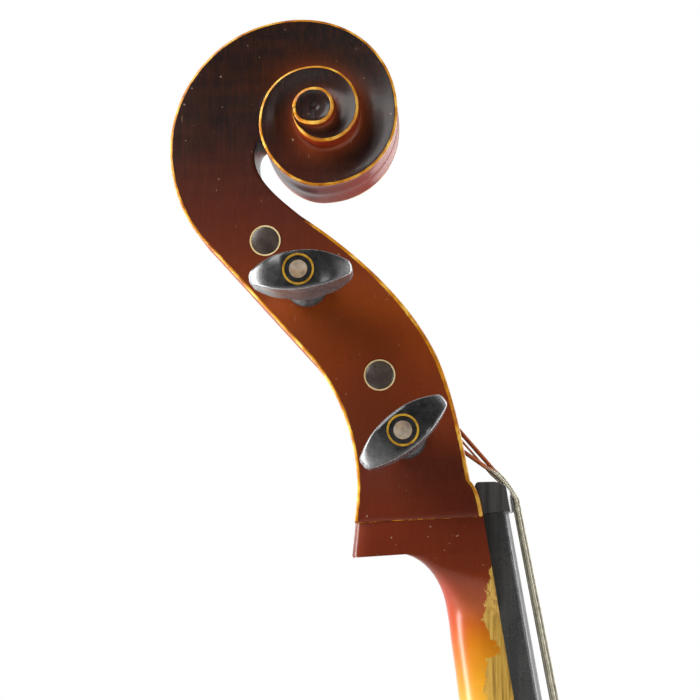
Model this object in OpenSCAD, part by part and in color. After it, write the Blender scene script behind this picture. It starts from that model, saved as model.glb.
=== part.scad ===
// Full-size cello: carved body, ribs and blocks, neck with scroll, four pegs, strings, bridge,
// tailpiece with four fine tuners, and a sliding endpin.
// Frame: the endpin's foot is the origin, +Z runs up the instrument, +X leaves the belly,
// and -Y is the bass side.  All lengths are in millimetres.

/* [Body] */
// Length of the back plate
body_len = 755; // [745:1:765]
// Depth of the ribs
rib_depth = 118; // [114:1:122]
// Thickness of a rib
rib_t = 2; // [1.5:0.1:2.5]
// Overhang of the plates past the ribs
overhang = 3; // [2.5:0.1:3.5]
// Thickness of the plates at their edges
edge_t = 4.5; // [4:0.1:5]
// Rise of the belly's arch above the ribs
belly_arch = 24; // [22:0.5:26]
// Rise of the back's arch above the ribs
back_arch = 25; // [22:0.5:27]
// Distance from the top of the body to the bridge
body_stop = 400; // [396:1:404]

/* [Neck and fingerboard] */
// Free length of the neck, from the nut to the body
neck_len = 280; // [276:1:284]
// Angle between the neck and the body
neck_angle = 9.2; // [8.8:0.1:9.6]
// Height of the fingerboard's seat above the belly's edge
overstand = 20; // [18:0.5:22]
// Half width of the neck at the nut
nut_half = 16; // [15.5:0.1:16.5]
// Length of the fingerboard
board_len = 585; // [575:1:595]
// Thickness of the fingerboard's sides
board_side = 9; // [8.5:0.1:9.5]
// Radius of the fingerboard's playing surface
board_r = 64; // [60:1:68]

/* [Pegs] */
// Distance from the cheek to the end of a peg's head
peg_reach = 47; // [44:0.5:50]
// Radius of a peg where it enters the head side cheek
peg_r = 7; // [6.6:0.1:7.2]
// Radius of a peg at its thin end
peg_end_r = 5.7; // [5.4:0.1:6]
// Radial clearance of a peg in its holes
peg_fit = 0.05; // [0.02:0.01:0.08]

/* [Strings and bridge] */
// Radii of the C, G, D and A strings
string_r = [0.85, 0.7, 0.55, 0.45]; // [0.3:0.05:1]
// Spacing of the strings at the nut
nut_spacing = 7.4; // [7:0.1:7.8]
// Spacing of the strings at the bridge
bridge_spacing = 15.6; // [15:0.1:16.2]
// Height of the bridge over the belly, in the middle
bridge_h = 97; // [92:1:100]

/* [Endpin] */
// Distance from the foot to the bottom of the body, with the rod pushed in
foot_drop = 60; // [55:1:70]
// Radius of the endpin rod
rod_r = 5; // [4:0.5:5]
// Length of the endpin rod
rod_len = 465; // [420:5:480]

/* [Hidden] */

$fn = 64;
gap = 0.3;                                   // air between bodies that move past each other
C = 0;                                       // order of the strings, from bass to treble
G = 1;
D = 2;
A = 3;

// ---- Places that follow from the driving dimensions ----
rib_x = rib_depth / 2;                       // inner face of the plates
plate_x = rib_x + edge_t;                    // outer face of the plates at their edges
bottom_z = foot_drop;
top_z = bottom_z + body_len;
seat_x = plate_x + overstand;                // fingerboard seat at the top of the body
nut_x = seat_x - neck_len * sin(neck_angle);
nut_z = top_z + neck_len * cos(neck_angle);
bridge_z = top_z - body_stop;
belly_x = rib_x + belly_arch;
bridge_top_x = belly_x + bridge_h;
bridge_r = 62;                               // radius of the bridge's top edge
margin = 12;                                 // flat border of the plates

// ---- Curves ----
function bez(p, t) = pow(1 - t, 3) * p[0] + 3 * pow(1 - t, 2) * t * p[1]
    + 3 * (1 - t) * t * t * p[2] + t * t * t * p[3];
function curve(p, n, from = 0, to = 1) = [for (i = [0:n]) bez(p, from + (to - from) * i / n)];
function rev(pts) = [for (i = [len(pts) - 1:-1:0]) pts[i]];
function tail(pts) = [for (i = [1:len(pts) - 1]) pts[i]];
function slice(pts, a, b) = [for (i = [a:b]) pts[i]];
function mirror_y(pts) = [for (p = pts) [-p[0], p[1]]];
function unit(v) = v / norm(v);
function side(v) = [v[1], -v[0]];
function tangent(pts, i) = unit(pts[min(i + 1, len(pts) - 1)] - pts[max(i - 1, 0)]);
function inset(pts, d) = [for (i = [0:len(pts) - 1]) pts[i] - d * side(tangent(pts, i))];

// ---- Treble half of the outline, as (distance from the middle, height over the bottom) ----
k_len = body_len / 755;
lower_bout = [[45, 0], [152, 2], [220, 66], [220, 158]];
lower_flank = [[220, 158], [220, 215], [148, 262], [188, 305]];
waist_low = [[182, 312], [140, 314], [114, 345], [114, 400]];
waist_high = [[114, 400], [114, 445], [122, 484], [148, 487]];
upper_flank = [[153, 496], [135, 520], [171, 545], [171, 607]];
upper_bout = [[171, 607], [171, 690], [118, 752], [36, 755]];
function on_body(pts) = [for (p = pts) [p[0], bottom_z + p[1] * k_len]];
lower_edge = on_body(concat(curve(lower_bout, 7), tail(curve(lower_flank, 6))));
waist_edge = on_body(concat(curve(waist_low, 5), tail(curve(waist_high, 5))));
upper_edge = on_body(concat(curve(upper_flank, 5), tail(curve(upper_bout, 7))));
half_outline = concat(lower_edge, waist_edge, upper_edge);
full_outline = concat(half_outline, rev(mirror_y(half_outline)));

// A smooth outline without corners limits the arch
arch_low = [[220, 158], [220, 250], [114, 290], [114, 400]];
arch_high = [[114, 400], [114, 480], [171, 520], [171, 607]];
arch_edge = on_body(concat(curve(lower_bout, 10), tail(curve(arch_low, 10)),
    tail(curve(arch_high, 10)), tail(curve(upper_bout, 10))));
arch_table = [for (p = arch_edge) [p[1], p[0]]];
function arch_half(z) = lookup(z, arch_table) - margin;
function along(z) = max(0, 1 - pow(abs(2 * (z - bottom_z - margin) / (body_len - 2 * margin) - 1), 2.5));
function across(s) = pow(cos(90 * min(1, abs(s))), 1.3);
function arch(y, z, rise) = edge_t + (rise - edge_t) * along(z) * across(y / arch_half(z));

// ---- Head of the neck: points are (x, z) from the corner of the nut ----
head_back = concat([[-52.5, -17]],
    curve([[-50, 10], [-50, 30], [-57, 48], [-68, 62]], 5),
    curve([[-112, 110.5], [-121, 119], [-128.3, 135], [-128.3, 152]], 5),
    tail(curve([[-128.3, 152], [-128.3, 181], [-105, 206.1], [-74, 206.1]], 7)),
    tail(curve([[-74, 206.1], [-50, 206.1], [-33.5, 188], [-33.5, 166]], 7)));
scroll_under = concat(curve([[-33.5, 166], [-33.5, 148], [-47, 134.3], [-66, 134.3]], 6),
    tail(curve([[-66, 134.3], [-79, 134.3], [-90.5, 148], [-90.5, 156]], 4)));
head_front = concat(curve([[-93, 147], [-92, 138], [-84, 131], [-73.5, 122.5]], 4),
    tail(curve([[-73.5, 122.5], [-50, 107], [-27, 85], [-17, 62]], 6)),
    tail(curve([[-17, 62], [-10.5, 46], [-7, 25], [-5, 13.5]], 4)),
    tail(curve([[-5, 13.5], [-1.5, 10], [-1, 6], [0, 0]], 3)));
chin = concat(curve([[-14.5, -38], [-16.5, -25], [-24, -15.2], [-36, -15.2]], 5), [[-52.5, -17]]);
second_turn = concat(curve([[-90.5, 156], [-90.5, 173.5], [-81, 183.5], [-67.5, 183.5]], 6),
    tail(curve([[-67.5, 183.5], [-57, 183.5], [-49.2, 175.5], [-49.2, 165.5]], 5)),
    tail(curve([[-49.2, 165.5], [-49.2, 150], [-58, 142], [-70, 142]], 5)));
first_turn = concat(slice(head_back, len(head_back) - 8, len(head_back) - 1), tail(scroll_under),
    curve([[-92, 165], [-94, 185], [-88, 198], [-80, 203]], 4));
scroll_eye = [-66.7, 164.3];
scroll_half = 33;                            // from the middle to the eye's face
head_half = [[23, -2], [20.5, -3.5], [16.8, -18], [16, -40]];
head_half_top = [[15.5, 128], [14, 160], [11, 206]];
head_widths = concat(rev(head_half), head_half_top);
function cheek(z) = 23 - (z + 2) * 7.5 / 130;
floor_line = [[-40, 12], [-46, 40], [-60, 66], [-74.5, 83], [-91, 99.5], [-106, 116], [-108, 124],
    [-98, 134], [-88, 138]];
cavity_mouth = [[-70, 128], [-30, 108], [12, 64], [4, 16]];
cavity_widths = [[13.5, 10], [9, 110], [7.5, 140]];

// ---- Pegs: axis of each, as (x, z) from the corner of the nut, and the side of its head ----
peg_axis = [[-30.7, 30.4], [-70.5, 92.3], [-88, 112], [-41, 56]];
peg_side = [-1, -1, 1, 1];
peg_turn = [39, 6, 131, 119];                // turn of each head about its axis
winding_y = [7.5, 5.5, 4.5, 7];              // distance of each winding from the middle
winding_w = 7;
head_reach = peg_reach;

// ---- Lines of the strings ----
function string_y(i, spacing) = (i - 1.5) * spacing;
function sag(y, r) = r - sqrt(r * r - y * y);
nut_crown = 15.6;                            // middle strings at the nut, above the seat
function neck_point(n, y, u) = [nut_x + n * cos(neck_angle) - u * sin(neck_angle), y,
    nut_z + n * sin(neck_angle) + u * cos(neck_angle)];
function nut_drop(i) = sag(string_y(i, nut_spacing), 40);
function bridge_point(i) = [bridge_top_x - sag(string_y(i, bridge_spacing), bridge_r) + string_r[i],
    string_y(i, bridge_spacing), bridge_z];

// ---- Tailpiece: its own frame starts at its lower end, with Z up its length ----
tail_len = 232;
tail_slope = atan((bridge_top_x - 72) / (bridge_z - bottom_z));
tail_z = bottom_z + 12;
tail_x = plate_x + 14;
tail_t = 9;
tuner_z = tail_len - 30;                     // tuner axle up the tailpiece
tuner_screw_z = tuner_z - 16;
hook_z = tuner_z + 13;
function tail_point(x, y, z) = [tail_x + x * cos(tail_slope) + z * sin(tail_slope), y,
    tail_z - x * sin(tail_slope) + z * cos(tail_slope)];
tuner_spacing = 11.5;
hook_x = tail_t + 6;

// ---- Endpin ----
collar_low = 38;
tip_top = 26;

// ======== Helpers ========

// Extrudes a (Y, Z) shape from x0 to x1
module slab(x0, x1) {
    translate([x0, 0, 0]) rotate([90, 0, 90]) linear_extrude(x1 - x0) children();
}

// Extrudes an (X, Z) shape from y0 to y1
module plank(y0, y1) {
    translate([0, y1, 0]) rotate([90, 0, 0]) linear_extrude(y1 - y0) children();
}

module at_nut() {
    translate([nut_x, 0, nut_z]) children();
}

module in_neck() {
    translate([nut_x, 0, nut_z]) rotate([0, -neck_angle, 0]) children();
}

module in_tail() {
    translate([tail_x, 0, tail_z]) rotate([0, tail_slope, 0]) children();
}

// A bent round cord through a list of points: a ring of points at each, square to the line there
cord_sides = 12;
function ring_at(pts, i, r) =
    let (w = tangent(pts, i), a = unit(cross(w, [0.2, 1, 0.1])), b = cross(w, a))
    [for (k = [0:cord_sides - 1])
        pts[i] + r * (cos(360 * k / cord_sides) * a + sin(360 * k / cord_sides) * b)];
module bent_bar(pts, r) {
    loft([for (i = [0:len(pts) - 1]) ring_at(pts, i, r)]);
}

// A strip that follows an edge line, between two insets
module strip(edge, from, to) {
    polygon(concat(inset(edge, from), rev(inset(edge, to))));
}

// A band of changing width along a line, as a chain of rounded pieces
module ribbon(pts, widths) {
    function radius(i) = lookup(i / (len(pts) - 1), widths) / 2;
    for (i = [0:len(pts) - 2]) hull() {
        translate(pts[i]) circle(r = radius(i), $fn = 16);
        translate(pts[i + 1]) circle(r = radius(i + 1), $fn = 16);
    }
}

// Joins rings of points, each with the same count, into a closed solid
module loft(rings) {
    n = len(rings[0]);
    last = len(rings) - 1;
    polyhedron(
        points = [for (ring = rings) for (p = ring) p],
        faces = concat([[for (i = [0:n - 1]) i]],
            [for (j = [0:last - 1]) for (i = [0:n - 1])
                [j * n + i, (j + 1) * n + i, (j + 1) * n + (i + 1) % n, j * n + (i + 1) % n]],
            [[for (i = [n - 1:-1:0]) last * n + i]]));
}

// ======== Body ========

// One ring of an arched plate: outer surface one way, hollow inner surface the other way
steps = [-1, -0.85, -0.65, -0.4, 0, 0.4, 0.65, 0.85, 1];
function plate_ring(w, z, rise, t) =
    let (half = min(w - 2, arch_half(z)))
    concat([[rib_x, -w, z], [plate_x, -w, z]],
        [for (s = steps) [rib_x + arch(s * half, z, rise), s * half, z]],
        [[plate_x, w, z], [rib_x, w, z]],
        [for (i = [len(steps) - 1:-1:0])
            [rib_x + max(0.3 * (1 - pow(steps[i], 2)), arch(steps[i] * half, z, rise) - t),
                steps[i] * half * 0.97, z]]);

module arched_plate(rise, t) {
    loft([for (p = half_outline) plate_ring(p[0], p[1], rise, t)]);
}

// Right hand sound hole, as a (Y, Z) shape
module sound_hole() {
    stem = on_body(concat(curve([[47, 409], [46, 427], [62, 430], [65, 407]], 6),
        tail(curve([[65, 407], [69, 378], [67, 336], [71, 305]], 5)),
        tail(curve([[71, 305], [75, 283], [92, 284], [91, 303]], 6))));
    ribbon(stem, [[0, 4], [0.2, 3], [0.5, 9], [0.8, 3], [1, 4]]);
    for (eye = on_body([[48.5, 408], [89, 304]]))
        translate(eye) circle(r = eye[0] < 60 ? 7.5 : 9.5, $fn = 32);
}

module top_plate() {
    color("chocolate") difference() {
        arched_plate(belly_arch, edge_t);
        for (s = [0, 1]) mirror([0, s, 0]) slab(rib_x - 1, belly_x + 2) sound_hole();
        translate([rib_x - 1, -saddle_half - 0.05, bottom_z - 2]) cube([20, 2 * saddle_half + 0.1, 7.55]);
    }
}

module back_plate() {
    color("sienna") {
        mirror([1, 0, 0]) arched_plate(back_arch, edge_t);
        slab(-plate_x, -rib_x) translate([0, top_z - 1]) {
            translate([-15, 0]) square([30, 10]);
            translate([0, 10]) circle(r = 15);
        }
    }
}

module rib(edge, s) {
    color("peru") mirror([0, s, 0]) slab(-rib_x, rib_x) strip(edge, overhang, overhang + rib_t);
}

low_rib_edge = concat([[0.05, bottom_z]], lower_edge);
top_rib_edge = concat(upper_edge, [[0.05, top_z]]);
module lower_rib(s) {
    difference() {
        rib(low_rib_edge, s);
        translate([0, 0, bottom_z - 2]) cylinder(r = sleeve_r + 0.15, h = 20);
    }
}

module lower_rib_bass() lower_rib(1);
module lower_rib_treble() lower_rib(0);
module center_rib_bass() rib(waist_edge, 1);
module center_rib_treble() rib(waist_edge, 0);
module upper_rib_bass() rib(top_rib_edge, 1);
module upper_rib_treble() rib(top_rib_edge, 0);

wall = overhang + rib_t;                     // from the plate's edge to the inside of a rib
block_half = 26;
saddle_half = 18;

module neck_block() {
    color("burlywood") translate([-rib_x, -block_half, top_z - wall - 28])
        cube([rib_depth, 2 * block_half, 28]);
}

module end_block() {
    color("burlywood") difference() {
        translate([-rib_x, -block_half, bottom_z + wall]) cube([rib_depth, 2 * block_half, 24]);
        translate([0, 0, bottom_z]) cylinder(r = 12, h = 40);
    }
}

module corner_block(flank, waist) {
    polygon(concat(inset(flank, wall), inset(waist, wall)));
}

n_low = len(lower_edge) - 1;
n_waist = len(waist_edge) - 1;
module lower_corner_blocks() {
    color("burlywood") for (s = [0, 1]) mirror([0, s, 0]) slab(-rib_x, rib_x)
        corner_block(slice(lower_edge, n_low - 2, n_low), slice(waist_edge, 0, 2));
}

module upper_corner_blocks() {
    color("burlywood") for (s = [0, 1]) mirror([0, s, 0]) slab(-rib_x, rib_x)
        corner_block(slice(waist_edge, n_waist - 2, n_waist), slice(upper_edge, 0, 2));
}

lining_h = 14;
lining_t = 5;
module linings(x0) {
    color("wheat") for (s = [0, 1]) mirror([0, s, 0]) slab(x0, x0 + lining_h) {
        strip(slice(lower_edge, 0, n_low - 3), wall, wall + lining_t);
        strip(slice(waist_edge, 3, n_waist - 3), wall, wall + lining_t);
        strip(slice(upper_edge, 3, len(upper_edge) - 1), wall, wall + lining_t);
    }
}

module top_linings() linings(rib_x - lining_h);
module back_linings() linings(-rib_x);

// The bass bar follows the underside of the arch
bar_y = -24;
bar_z = [for (k = [0:10]) bottom_z + 85 + k * 58];
module bass_bar() {
    upper = [for (z = bar_z) [rib_x + arch(bar_y - 5.5, z, belly_arch) - edge_t - 0.6, z]];
    lower = [for (i = [0:10]) upper[i] - [3 + 18 * sin(18 * i), 0]];
    color("wheat") plank(bar_y - 5, bar_y + 5) polygon(concat(upper, rev(lower)));
}

post_y = 26;
post_z = bridge_z - 20;
module sound_post() {
    front = rib_x + arch(post_y + 6, post_z, belly_arch) - edge_t - 0.8;
    back = rib_x + arch(post_y + 6, post_z, back_arch) - edge_t - 0.8;
    color("wheat") translate([-back, post_y, post_z]) rotate([0, 90, 0]) cylinder(r = 5.5, h = front + back);
}

module purfling(x0) {
    color("black") slab(x0, x0 + 0.3) difference() {
        polygon(concat(inset(half_outline, 4), rev(mirror_y(inset(half_outline, 4)))));
        polygon(concat(inset(half_outline, 5.3), rev(mirror_y(inset(half_outline, 5.3)))));
    }
}

module top_purfling() {
    color("black") difference() {
        purfling(plate_x);
        translate([plate_x - 1, -saddle_half - 0.15, bottom_z - 2]) cube([3, 2 * saddle_half + 0.3, 7.65]);
    }
}

module back_purfling() purfling(-plate_x - 0.3);

// ======== Neck, pegbox and scroll ========

// Back line of the neck and heel, in the frame of the body: one x for each z
heel_top = neck_point(-24, 0, -215);
heel_curve = concat([[-rib_x + 0.05, top_z + 20], [-rib_x + 4, top_z + 24]],
    curve([[-20, top_z + 25], [22, top_z + 28], [50, top_z + 34], [heel_top[0], heel_top[2]]], 6));
throat_back = neck_point(-20.4, 0, -32);
neck_back = concat([for (z = [top_z - overhang, top_z + 0.1, top_z + 0.3]) [-rib_x + 0.05, z]],
    heel_curve, [[throat_back[0], throat_back[2]]]);
function seat_at(z) = nut_x + (nut_z - z) * tan(neck_angle);
function neck_half(z) = nut_half + (nut_z - z) * 0.0195;

// A half oval section: flat at the seat, round behind
module neck_handle() {
    angles = [for (k = [6:-1:-6]) k * 15];
    rings = [for (p = neck_back)
        let (z = p[1], front = z < top_z + 0.2 ? rib_x - 0.1 : seat_at(z), w = neck_half(z))
        [for (a = angles) [front - (front - p[0]) * pow(cos(a), 0.75), w * sign(a) * pow(abs(sin(a)), 0.85), z]]];
    loft(rings);
}

module head_block() {
    intersection() {
        plank(-40, 40) polygon(concat([[6, -38]], rev(head_front), rev(scroll_under), rev(head_back),
            rev(chin)));
        slab(-140, 20) polygon(concat(head_widths, rev(mirror_y(head_widths))));
    }
}

module peg_hole(i) {
    s = peg_side[i];
    translate([peg_axis[i][0], 0, peg_axis[i][1]]) rotate([-90 * s, 0, 0]) {
        cylinder(r = peg_r, h = 40);
        mirror([0, 0, 1]) cylinder(r = peg_end_r + peg_fit, h = 40);
    }
}

module bushing_hole(i) {
    translate([peg_axis[i][0], 0, peg_axis[i][1]]) rotate([90 * peg_side[i], 0, 0])
        translate([0, 0, cheek(peg_axis[i][1]) - 6]) cylinder(r = peg_end_r + 0.65, h = 20);
}

module neck() {
    color("saddlebrown") {
        neck_handle();
        at_nut() difference() {
            union() {
                head_block();
                plank(-19, 19) polygon(first_turn);
                plank(-26, 26) polygon(second_turn);
                translate([scroll_eye[0], 0, scroll_eye[1]]) rotate([90, 0, 0])
                    cylinder(r = 8, h = 2 * scroll_half, center = true);
            }
            intersection() {
                plank(-20, 20) polygon(concat(floor_line, cavity_mouth));
                slab(-140, 20) polygon(concat(cavity_widths, rev(mirror_y(cavity_widths))));
            }
            for (i = [C:A]) peg_hole(i);
            for (i = [C:A]) bushing_hole(i);
        }
    }
}

module peg_bushings() {
    color("wheat") at_nut() for (i = [C:A])
        translate([peg_axis[i][0], 0, peg_axis[i][1]]) rotate([90 * peg_side[i], 0, 0])
            translate([0, 0, cheek(peg_axis[i][1]) - 6]) difference() {
                cylinder(r = peg_end_r + 0.65, h = 6.4);
                translate([0, 0, -1]) cylinder(r = peg_end_r + peg_fit, h = 9);
            }
}

board_end_half = 31.5;
module fingerboard() {
    crown = board_side + sag(nut_half, board_r);
    end_crown = board_side - 0.3 + sag(board_end_half, board_r);
    tilt = atan((end_crown - crown) / board_len);
    plan = [[nut_half, 0], [nut_half, 0.01], [board_end_half, -board_len], [-board_end_half, -board_len],
        [-nut_half, 0]];
    color("dimgray") in_neck() difference() {
        intersection() {
            slab(0, 30) polygon([plan[0], plan[2], plan[3], plan[4]]);
            translate([crown - board_r, 0, 0]) rotate([0, -tilt, 0])
                translate([0, 0, -board_len - 10]) cylinder(r = board_r, h = board_len + 20, $fn = 180);
        }
        translate([-board_r + 12, 0, -board_len - 1]) cylinder(r = board_r - 1, h = board_len - neck_len - 14);
    }
}

module nut() {
    profile = concat([[0.1, 0.12], [-0.86, 5.4], [-2.26, 9.8], [-2.5, 12.8]],
        curve([[5.5, 13.2], [10.5, 12.5], [14.2, 7], [14.4, 2.45]], 5));
    crown = nut_crown - 0.9;
    color("black") at_nut() intersection() {
        plank(-nut_half - 0.4, nut_half + 0.4) polygon(profile);
        rotate([0, -neck_angle, 0]) translate([crown - 40, 0, -5]) cylinder(r = 40, h = 30, $fn = 120);
    }
}

// ======== Pegs ========

module in_peg(i) {
    at_nut() translate([peg_axis[i][0], 0, peg_axis[i][1]]) rotate([0, -peg_turn[i], 0])
        rotate([-90 * peg_side[i], 0, 0]) children();
}

peg_neck = 13;                               // from the cheek to the underside of the head
head_outline = concat([[0, peg_neck - 1], [4.9, peg_neck - 1]],
    curve([[5.8, peg_neck], [8, peg_neck + 6], [19, peg_neck + 5], [20, peg_neck + 15]], 6),
    tail(curve([[20, peg_neck + 15], [21, peg_neck + 23], [17, peg_neck + 30], [8, head_reach]], 6)),
    [[0, head_reach]]);
head_side = concat([[0, peg_neck - 2], [4.9, peg_neck - 2]],
    curve([[5.6, peg_neck], [6.4, peg_neck + 10], [8.2, peg_neck + 18], [7, head_reach]], 6),
    [[0, head_reach]]);

// The peg's own frame has its origin on the neck's middle plane and Z towards its head
module peg(i) {
    face = cheek(peg_axis[i][1]);
    shank = [[0, -face - 0.8], [peg_end_r, -face - 0.8], [peg_end_r, 10 - face], [peg_r - peg_fit, face - 10]];
    collar = concat([[peg_r - peg_fit, 1.5], [7.4, 1.5]],
        curve([[8.6, 2.5], [9.2, 4.5], [8.6, 7], [6.6, 8]], 4), [[5.8, 10], [5.6, peg_neck], [0, peg_neck]]);
    color("dimgray") in_peg(i) {
        rotate_extrude() polygon(concat(shank, [for (p = collar) p + [0, face]]));
        translate([0, 0, face]) intersection() {
            rotate([90, 0, 0]) translate([0, 0, -10]) linear_extrude(20)
                polygon(concat(head_outline, rev(mirror_y(head_outline))));
            rotate([90, 0, 90]) translate([0, 0, -25]) linear_extrude(50)
                polygon(concat(head_side, rev(mirror_y(head_side))));
        }
    }
}

module peg_ring(i) {
    color("goldenrod") in_peg(i) translate([0, 0, cheek(peg_axis[i][1]) + head_reach]) difference() {
        cylinder(r = 6.1, h = 0.5);
        translate([0, 0, -1]) cylinder(r = 5.3, h = 3);
    }
}

module peg_eye(i) {
    color("linen") in_peg(i) translate([0, 0, cheek(peg_axis[i][1]) + head_reach]) cylinder(r = 3.5, h = 0.4);
}

// Turns of string on a peg, side by side
function winding_r(i) = 6.9 + 2 * string_r[i];
module winding(i) {
    turns = floor(winding_w / (2 * string_r[i]));
    color("olive") in_peg(i) for (k = [0:turns - 1])
        translate([0, 0, winding_y[i] - winding_w / 2 + (2 * k + 1) * string_r[i]])
            rotate_extrude() translate([6.9 + string_r[i], 0]) circle(r = string_r[i], $fn = 16);
}

module peg_c() peg(C);
module peg_g() peg(G);
module peg_d() peg(D);
module peg_a() peg(A);
module winding_c() winding(C);
module winding_g() winding(G);
module winding_d() winding(D);
module winding_a() winding(A);
module peg_ring_c() peg_ring(C);
module peg_ring_g() peg_ring(G);
module peg_ring_d() peg_ring(D);
module peg_ring_a() peg_ring(A);
module peg_eye_c() peg_eye(C);
module peg_eye_g() peg_eye(G);
module peg_eye_d() peg_eye(D);
module peg_eye_a() peg_eye(A);

// ======== Strings ========

// Point where a string leaves the front of its winding, towards a point (x, z)
function leave(axis, r, to) =
    let (v = to - axis, a = atan2(v[1], v[0]) + acos(r / norm(v)))
    axis + r * [cos(a), sin(a)];
function string_path(i) =
    let (yn = string_y(i, nut_spacing), drop = nut_drop(i), r = string_r[i],
        bend = [5.2 - 0.35 * drop, 18.6 - drop],
        start = leave(peg_axis[i], winding_r(i) + r + gap, bend),
        over = [9.8 - 0.6 * drop, 14.4 - 0.8 * drop],
        b = bridge_point(i), h = tail_point(hook_x, (i - 1.5) * tuner_spacing, hook_z + 4.4))
    [[nut_x + start[0], peg_side[i] * winding_y[i], nut_z + start[1]],
        [nut_x + bend[0], yn, nut_z + bend[1]],
        [nut_x + over[0], yn, nut_z + over[1]],
        neck_point(nut_crown - drop, yn, 4),
        b, h];

module string(i) {
    color("gray") bent_bar(string_path(i), string_r[i]);
}

module string_c() string(C);
module string_g() string(G);
module string_d() string(D);
module string_a() string(A);

// ======== Bridge, tailpiece and tuners ========

foot_out = 46;
foot_in = 19;
function foot_x(y) = rib_x + arch(y, bridge_z, belly_arch) + 0.4;
module bridge() {
    crest = [for (k = [-6:6]) [k * 4.6, bridge_top_x - sag(k * 4.6, bridge_r) - 0.3]];
    half = concat([[27.6, crest[12][1]], [30, belly_x + 74]],
        curve([[32, belly_x + 64], [27, belly_x + 58], [45, belly_x + 58], [40, belly_x + 44]], 5),
        curve([[33, belly_x + 32], [36, belly_x + 14], [44, belly_x + 8], [foot_out, foot_x(foot_out) + 5]], 5),
        [[foot_out, foot_x(foot_out)], [32, foot_x(32)], [foot_in, foot_x(foot_in)], [foot_in, foot_x(foot_in) + 5]],
        curve([[22, belly_x + 12], [20, belly_x + 26], [10, belly_x + 31], [0, belly_x + 31]], 5));
    taper = [[belly_x - 12, -5.6], [bridge_top_x + 1, -1.4], [bridge_top_x + 1, 1.4], [belly_x - 12, 5.6]];
    color("tan") translate([0, 0, bridge_z]) intersection() {
        translate([0, 0, -8]) linear_extrude(16) difference() {
            polygon([for (p = concat(crest, slice(half, 0, len(half) - 2), rev(mirror_y(half)))) [p[1], p[0]]]);
            translate([belly_x + 62, 0]) circle(r = 7.5);
            for (s = [-1, 1]) translate([belly_x + 46, s * 23]) circle(r = 7.5);
            for (s = [-1, 1]) translate([belly_x + 54, s * 3.8]) circle(r = 4.5);
        }
        plank(-60, 60) polygon(taper);
    }
}

module saddle() {
    color("black") translate([rib_x + 0.05, -saddle_half, bottom_z - 1.5]) cube([15, 2 * saddle_half, 7]);
}

tail_half = [[13, 0], [16, 12], [22, tail_len * 0.6], [28, tail_len - 14], [29, tail_len - 3], [26, tail_len]];
slot_w = 5;
module tailpiece() {
    color("dimgray") in_tail() difference() {
        intersection() {
            slab(0, 30) polygon(concat(tail_half, rev(mirror_y(tail_half))));
            translate([tail_t - 60, 0, -5]) cylinder(r = 60, h = tail_len + 10, $fn = 128);
        }
        translate([-46, 0, 25]) cylinder(r = 48, h = tail_len - 65);
        for (i = [C:A]) translate([-5, (i - 1.5) * tuner_spacing - slot_w / 2, tuner_z - 9])
            cube([30, slot_w, 30 + 30]);
        for (i = [C:A]) translate([-5, (i - 1.5) * tuner_spacing, tuner_screw_z]) rotate([0, 90, 0])
            cylinder(r = 2.05, h = 30);
        translate([2.5, 0, tuner_z]) rotate([90, 0, 0]) cylinder(r = 1.5, h = 80, center = true);
        for (s = [-1, 1]) translate([3, s * 7, -1]) cylinder(r = 1.6, h = 30);
    }
}

module tuner_axle() {
    color("silver") in_tail() translate([2.5, 0, tuner_z]) rotate([90, 0, 0])
        cylinder(r = 1.45, h = 52, center = true);
}

lever_w = 4.2;
module tuner_lever(i) {
    y = (i - 1.5) * tuner_spacing;
    color("silver") in_tail() difference() {
        union() {
            plank(y - lever_w / 2, y + lever_w / 2) polygon([[-2.2, tuner_z - 3], [-2.2, tuner_z + 4],
                [6, tuner_z + 10], [hook_x - 3, hook_z + 4], [hook_x + 3, hook_z + 2], [hook_x + 3, hook_z - 3],
                [9, hook_z - 5], [5.5, tuner_z + 2], [5, tuner_z - 3]]);
            plank(y - lever_w / 2, y + lever_w / 2)
                polygon([[-4.2, tuner_screw_z - 4], [-2.2, tuner_screw_z - 4], [-2.2, tuner_z], [-4.2, tuner_z]]);
        }
        translate([2.5, y, tuner_z]) rotate([90, 0, 0]) cylinder(r = 1.5, h = 20, center = true);
        translate([hook_x, y - 0.9, hook_z - 1]) cube([10, 1.8, 20]);
    }
}

module tuner_screw(i) {
    y = (i - 1.5) * tuner_spacing;
    color("silver") in_tail() translate([0, y, tuner_screw_z]) rotate([0, 90, 0]) {
        translate([0, 0, -1.8]) cylinder(r = 2, h = 22);
        difference() {
            translate([0, 0, 15]) cylinder(r = 4, h = 8);
            for (k = [0:11]) rotate([0, 0, 30 * k]) translate([4.3, 0, 14]) cylinder(r = 0.6, h = 10, $fn = 16);
        }
    }
}

module tuner_lever_c() tuner_lever(C);
module tuner_lever_g() tuner_lever(G);
module tuner_lever_d() tuner_lever(D);
module tuner_lever_a() tuner_lever(A);
module tuner_screw_c() tuner_screw(C);
module tuner_screw_g() tuner_screw(G);
module tuner_screw_d() tuner_screw(D);
module tuner_screw_a() tuner_screw(A);

// A loop of cord from the tailpiece, over the saddle and round the endpin's collar
module tail_gut() {
    half = [tail_point(3, 7, 26), tail_point(3, 7, 2), [rib_x + 16.6, 9, bottom_z + 4],
        [rib_x + 15, 10, bottom_z - 3.4], [rib_x, 13.5, bottom_z - 5]];
    round_collar = [for (k = [0:8]) [15 * cos(90 + 22.5 * k), 15 * sin(90 + 22.5 * k), bottom_z - 4.4]];
    color("dimgray") bent_bar(concat(half, round_collar, rev([for (p = half) [p[0], -p[1], p[2]]])), 1.5);
}

// ======== Endpin ========

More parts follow.
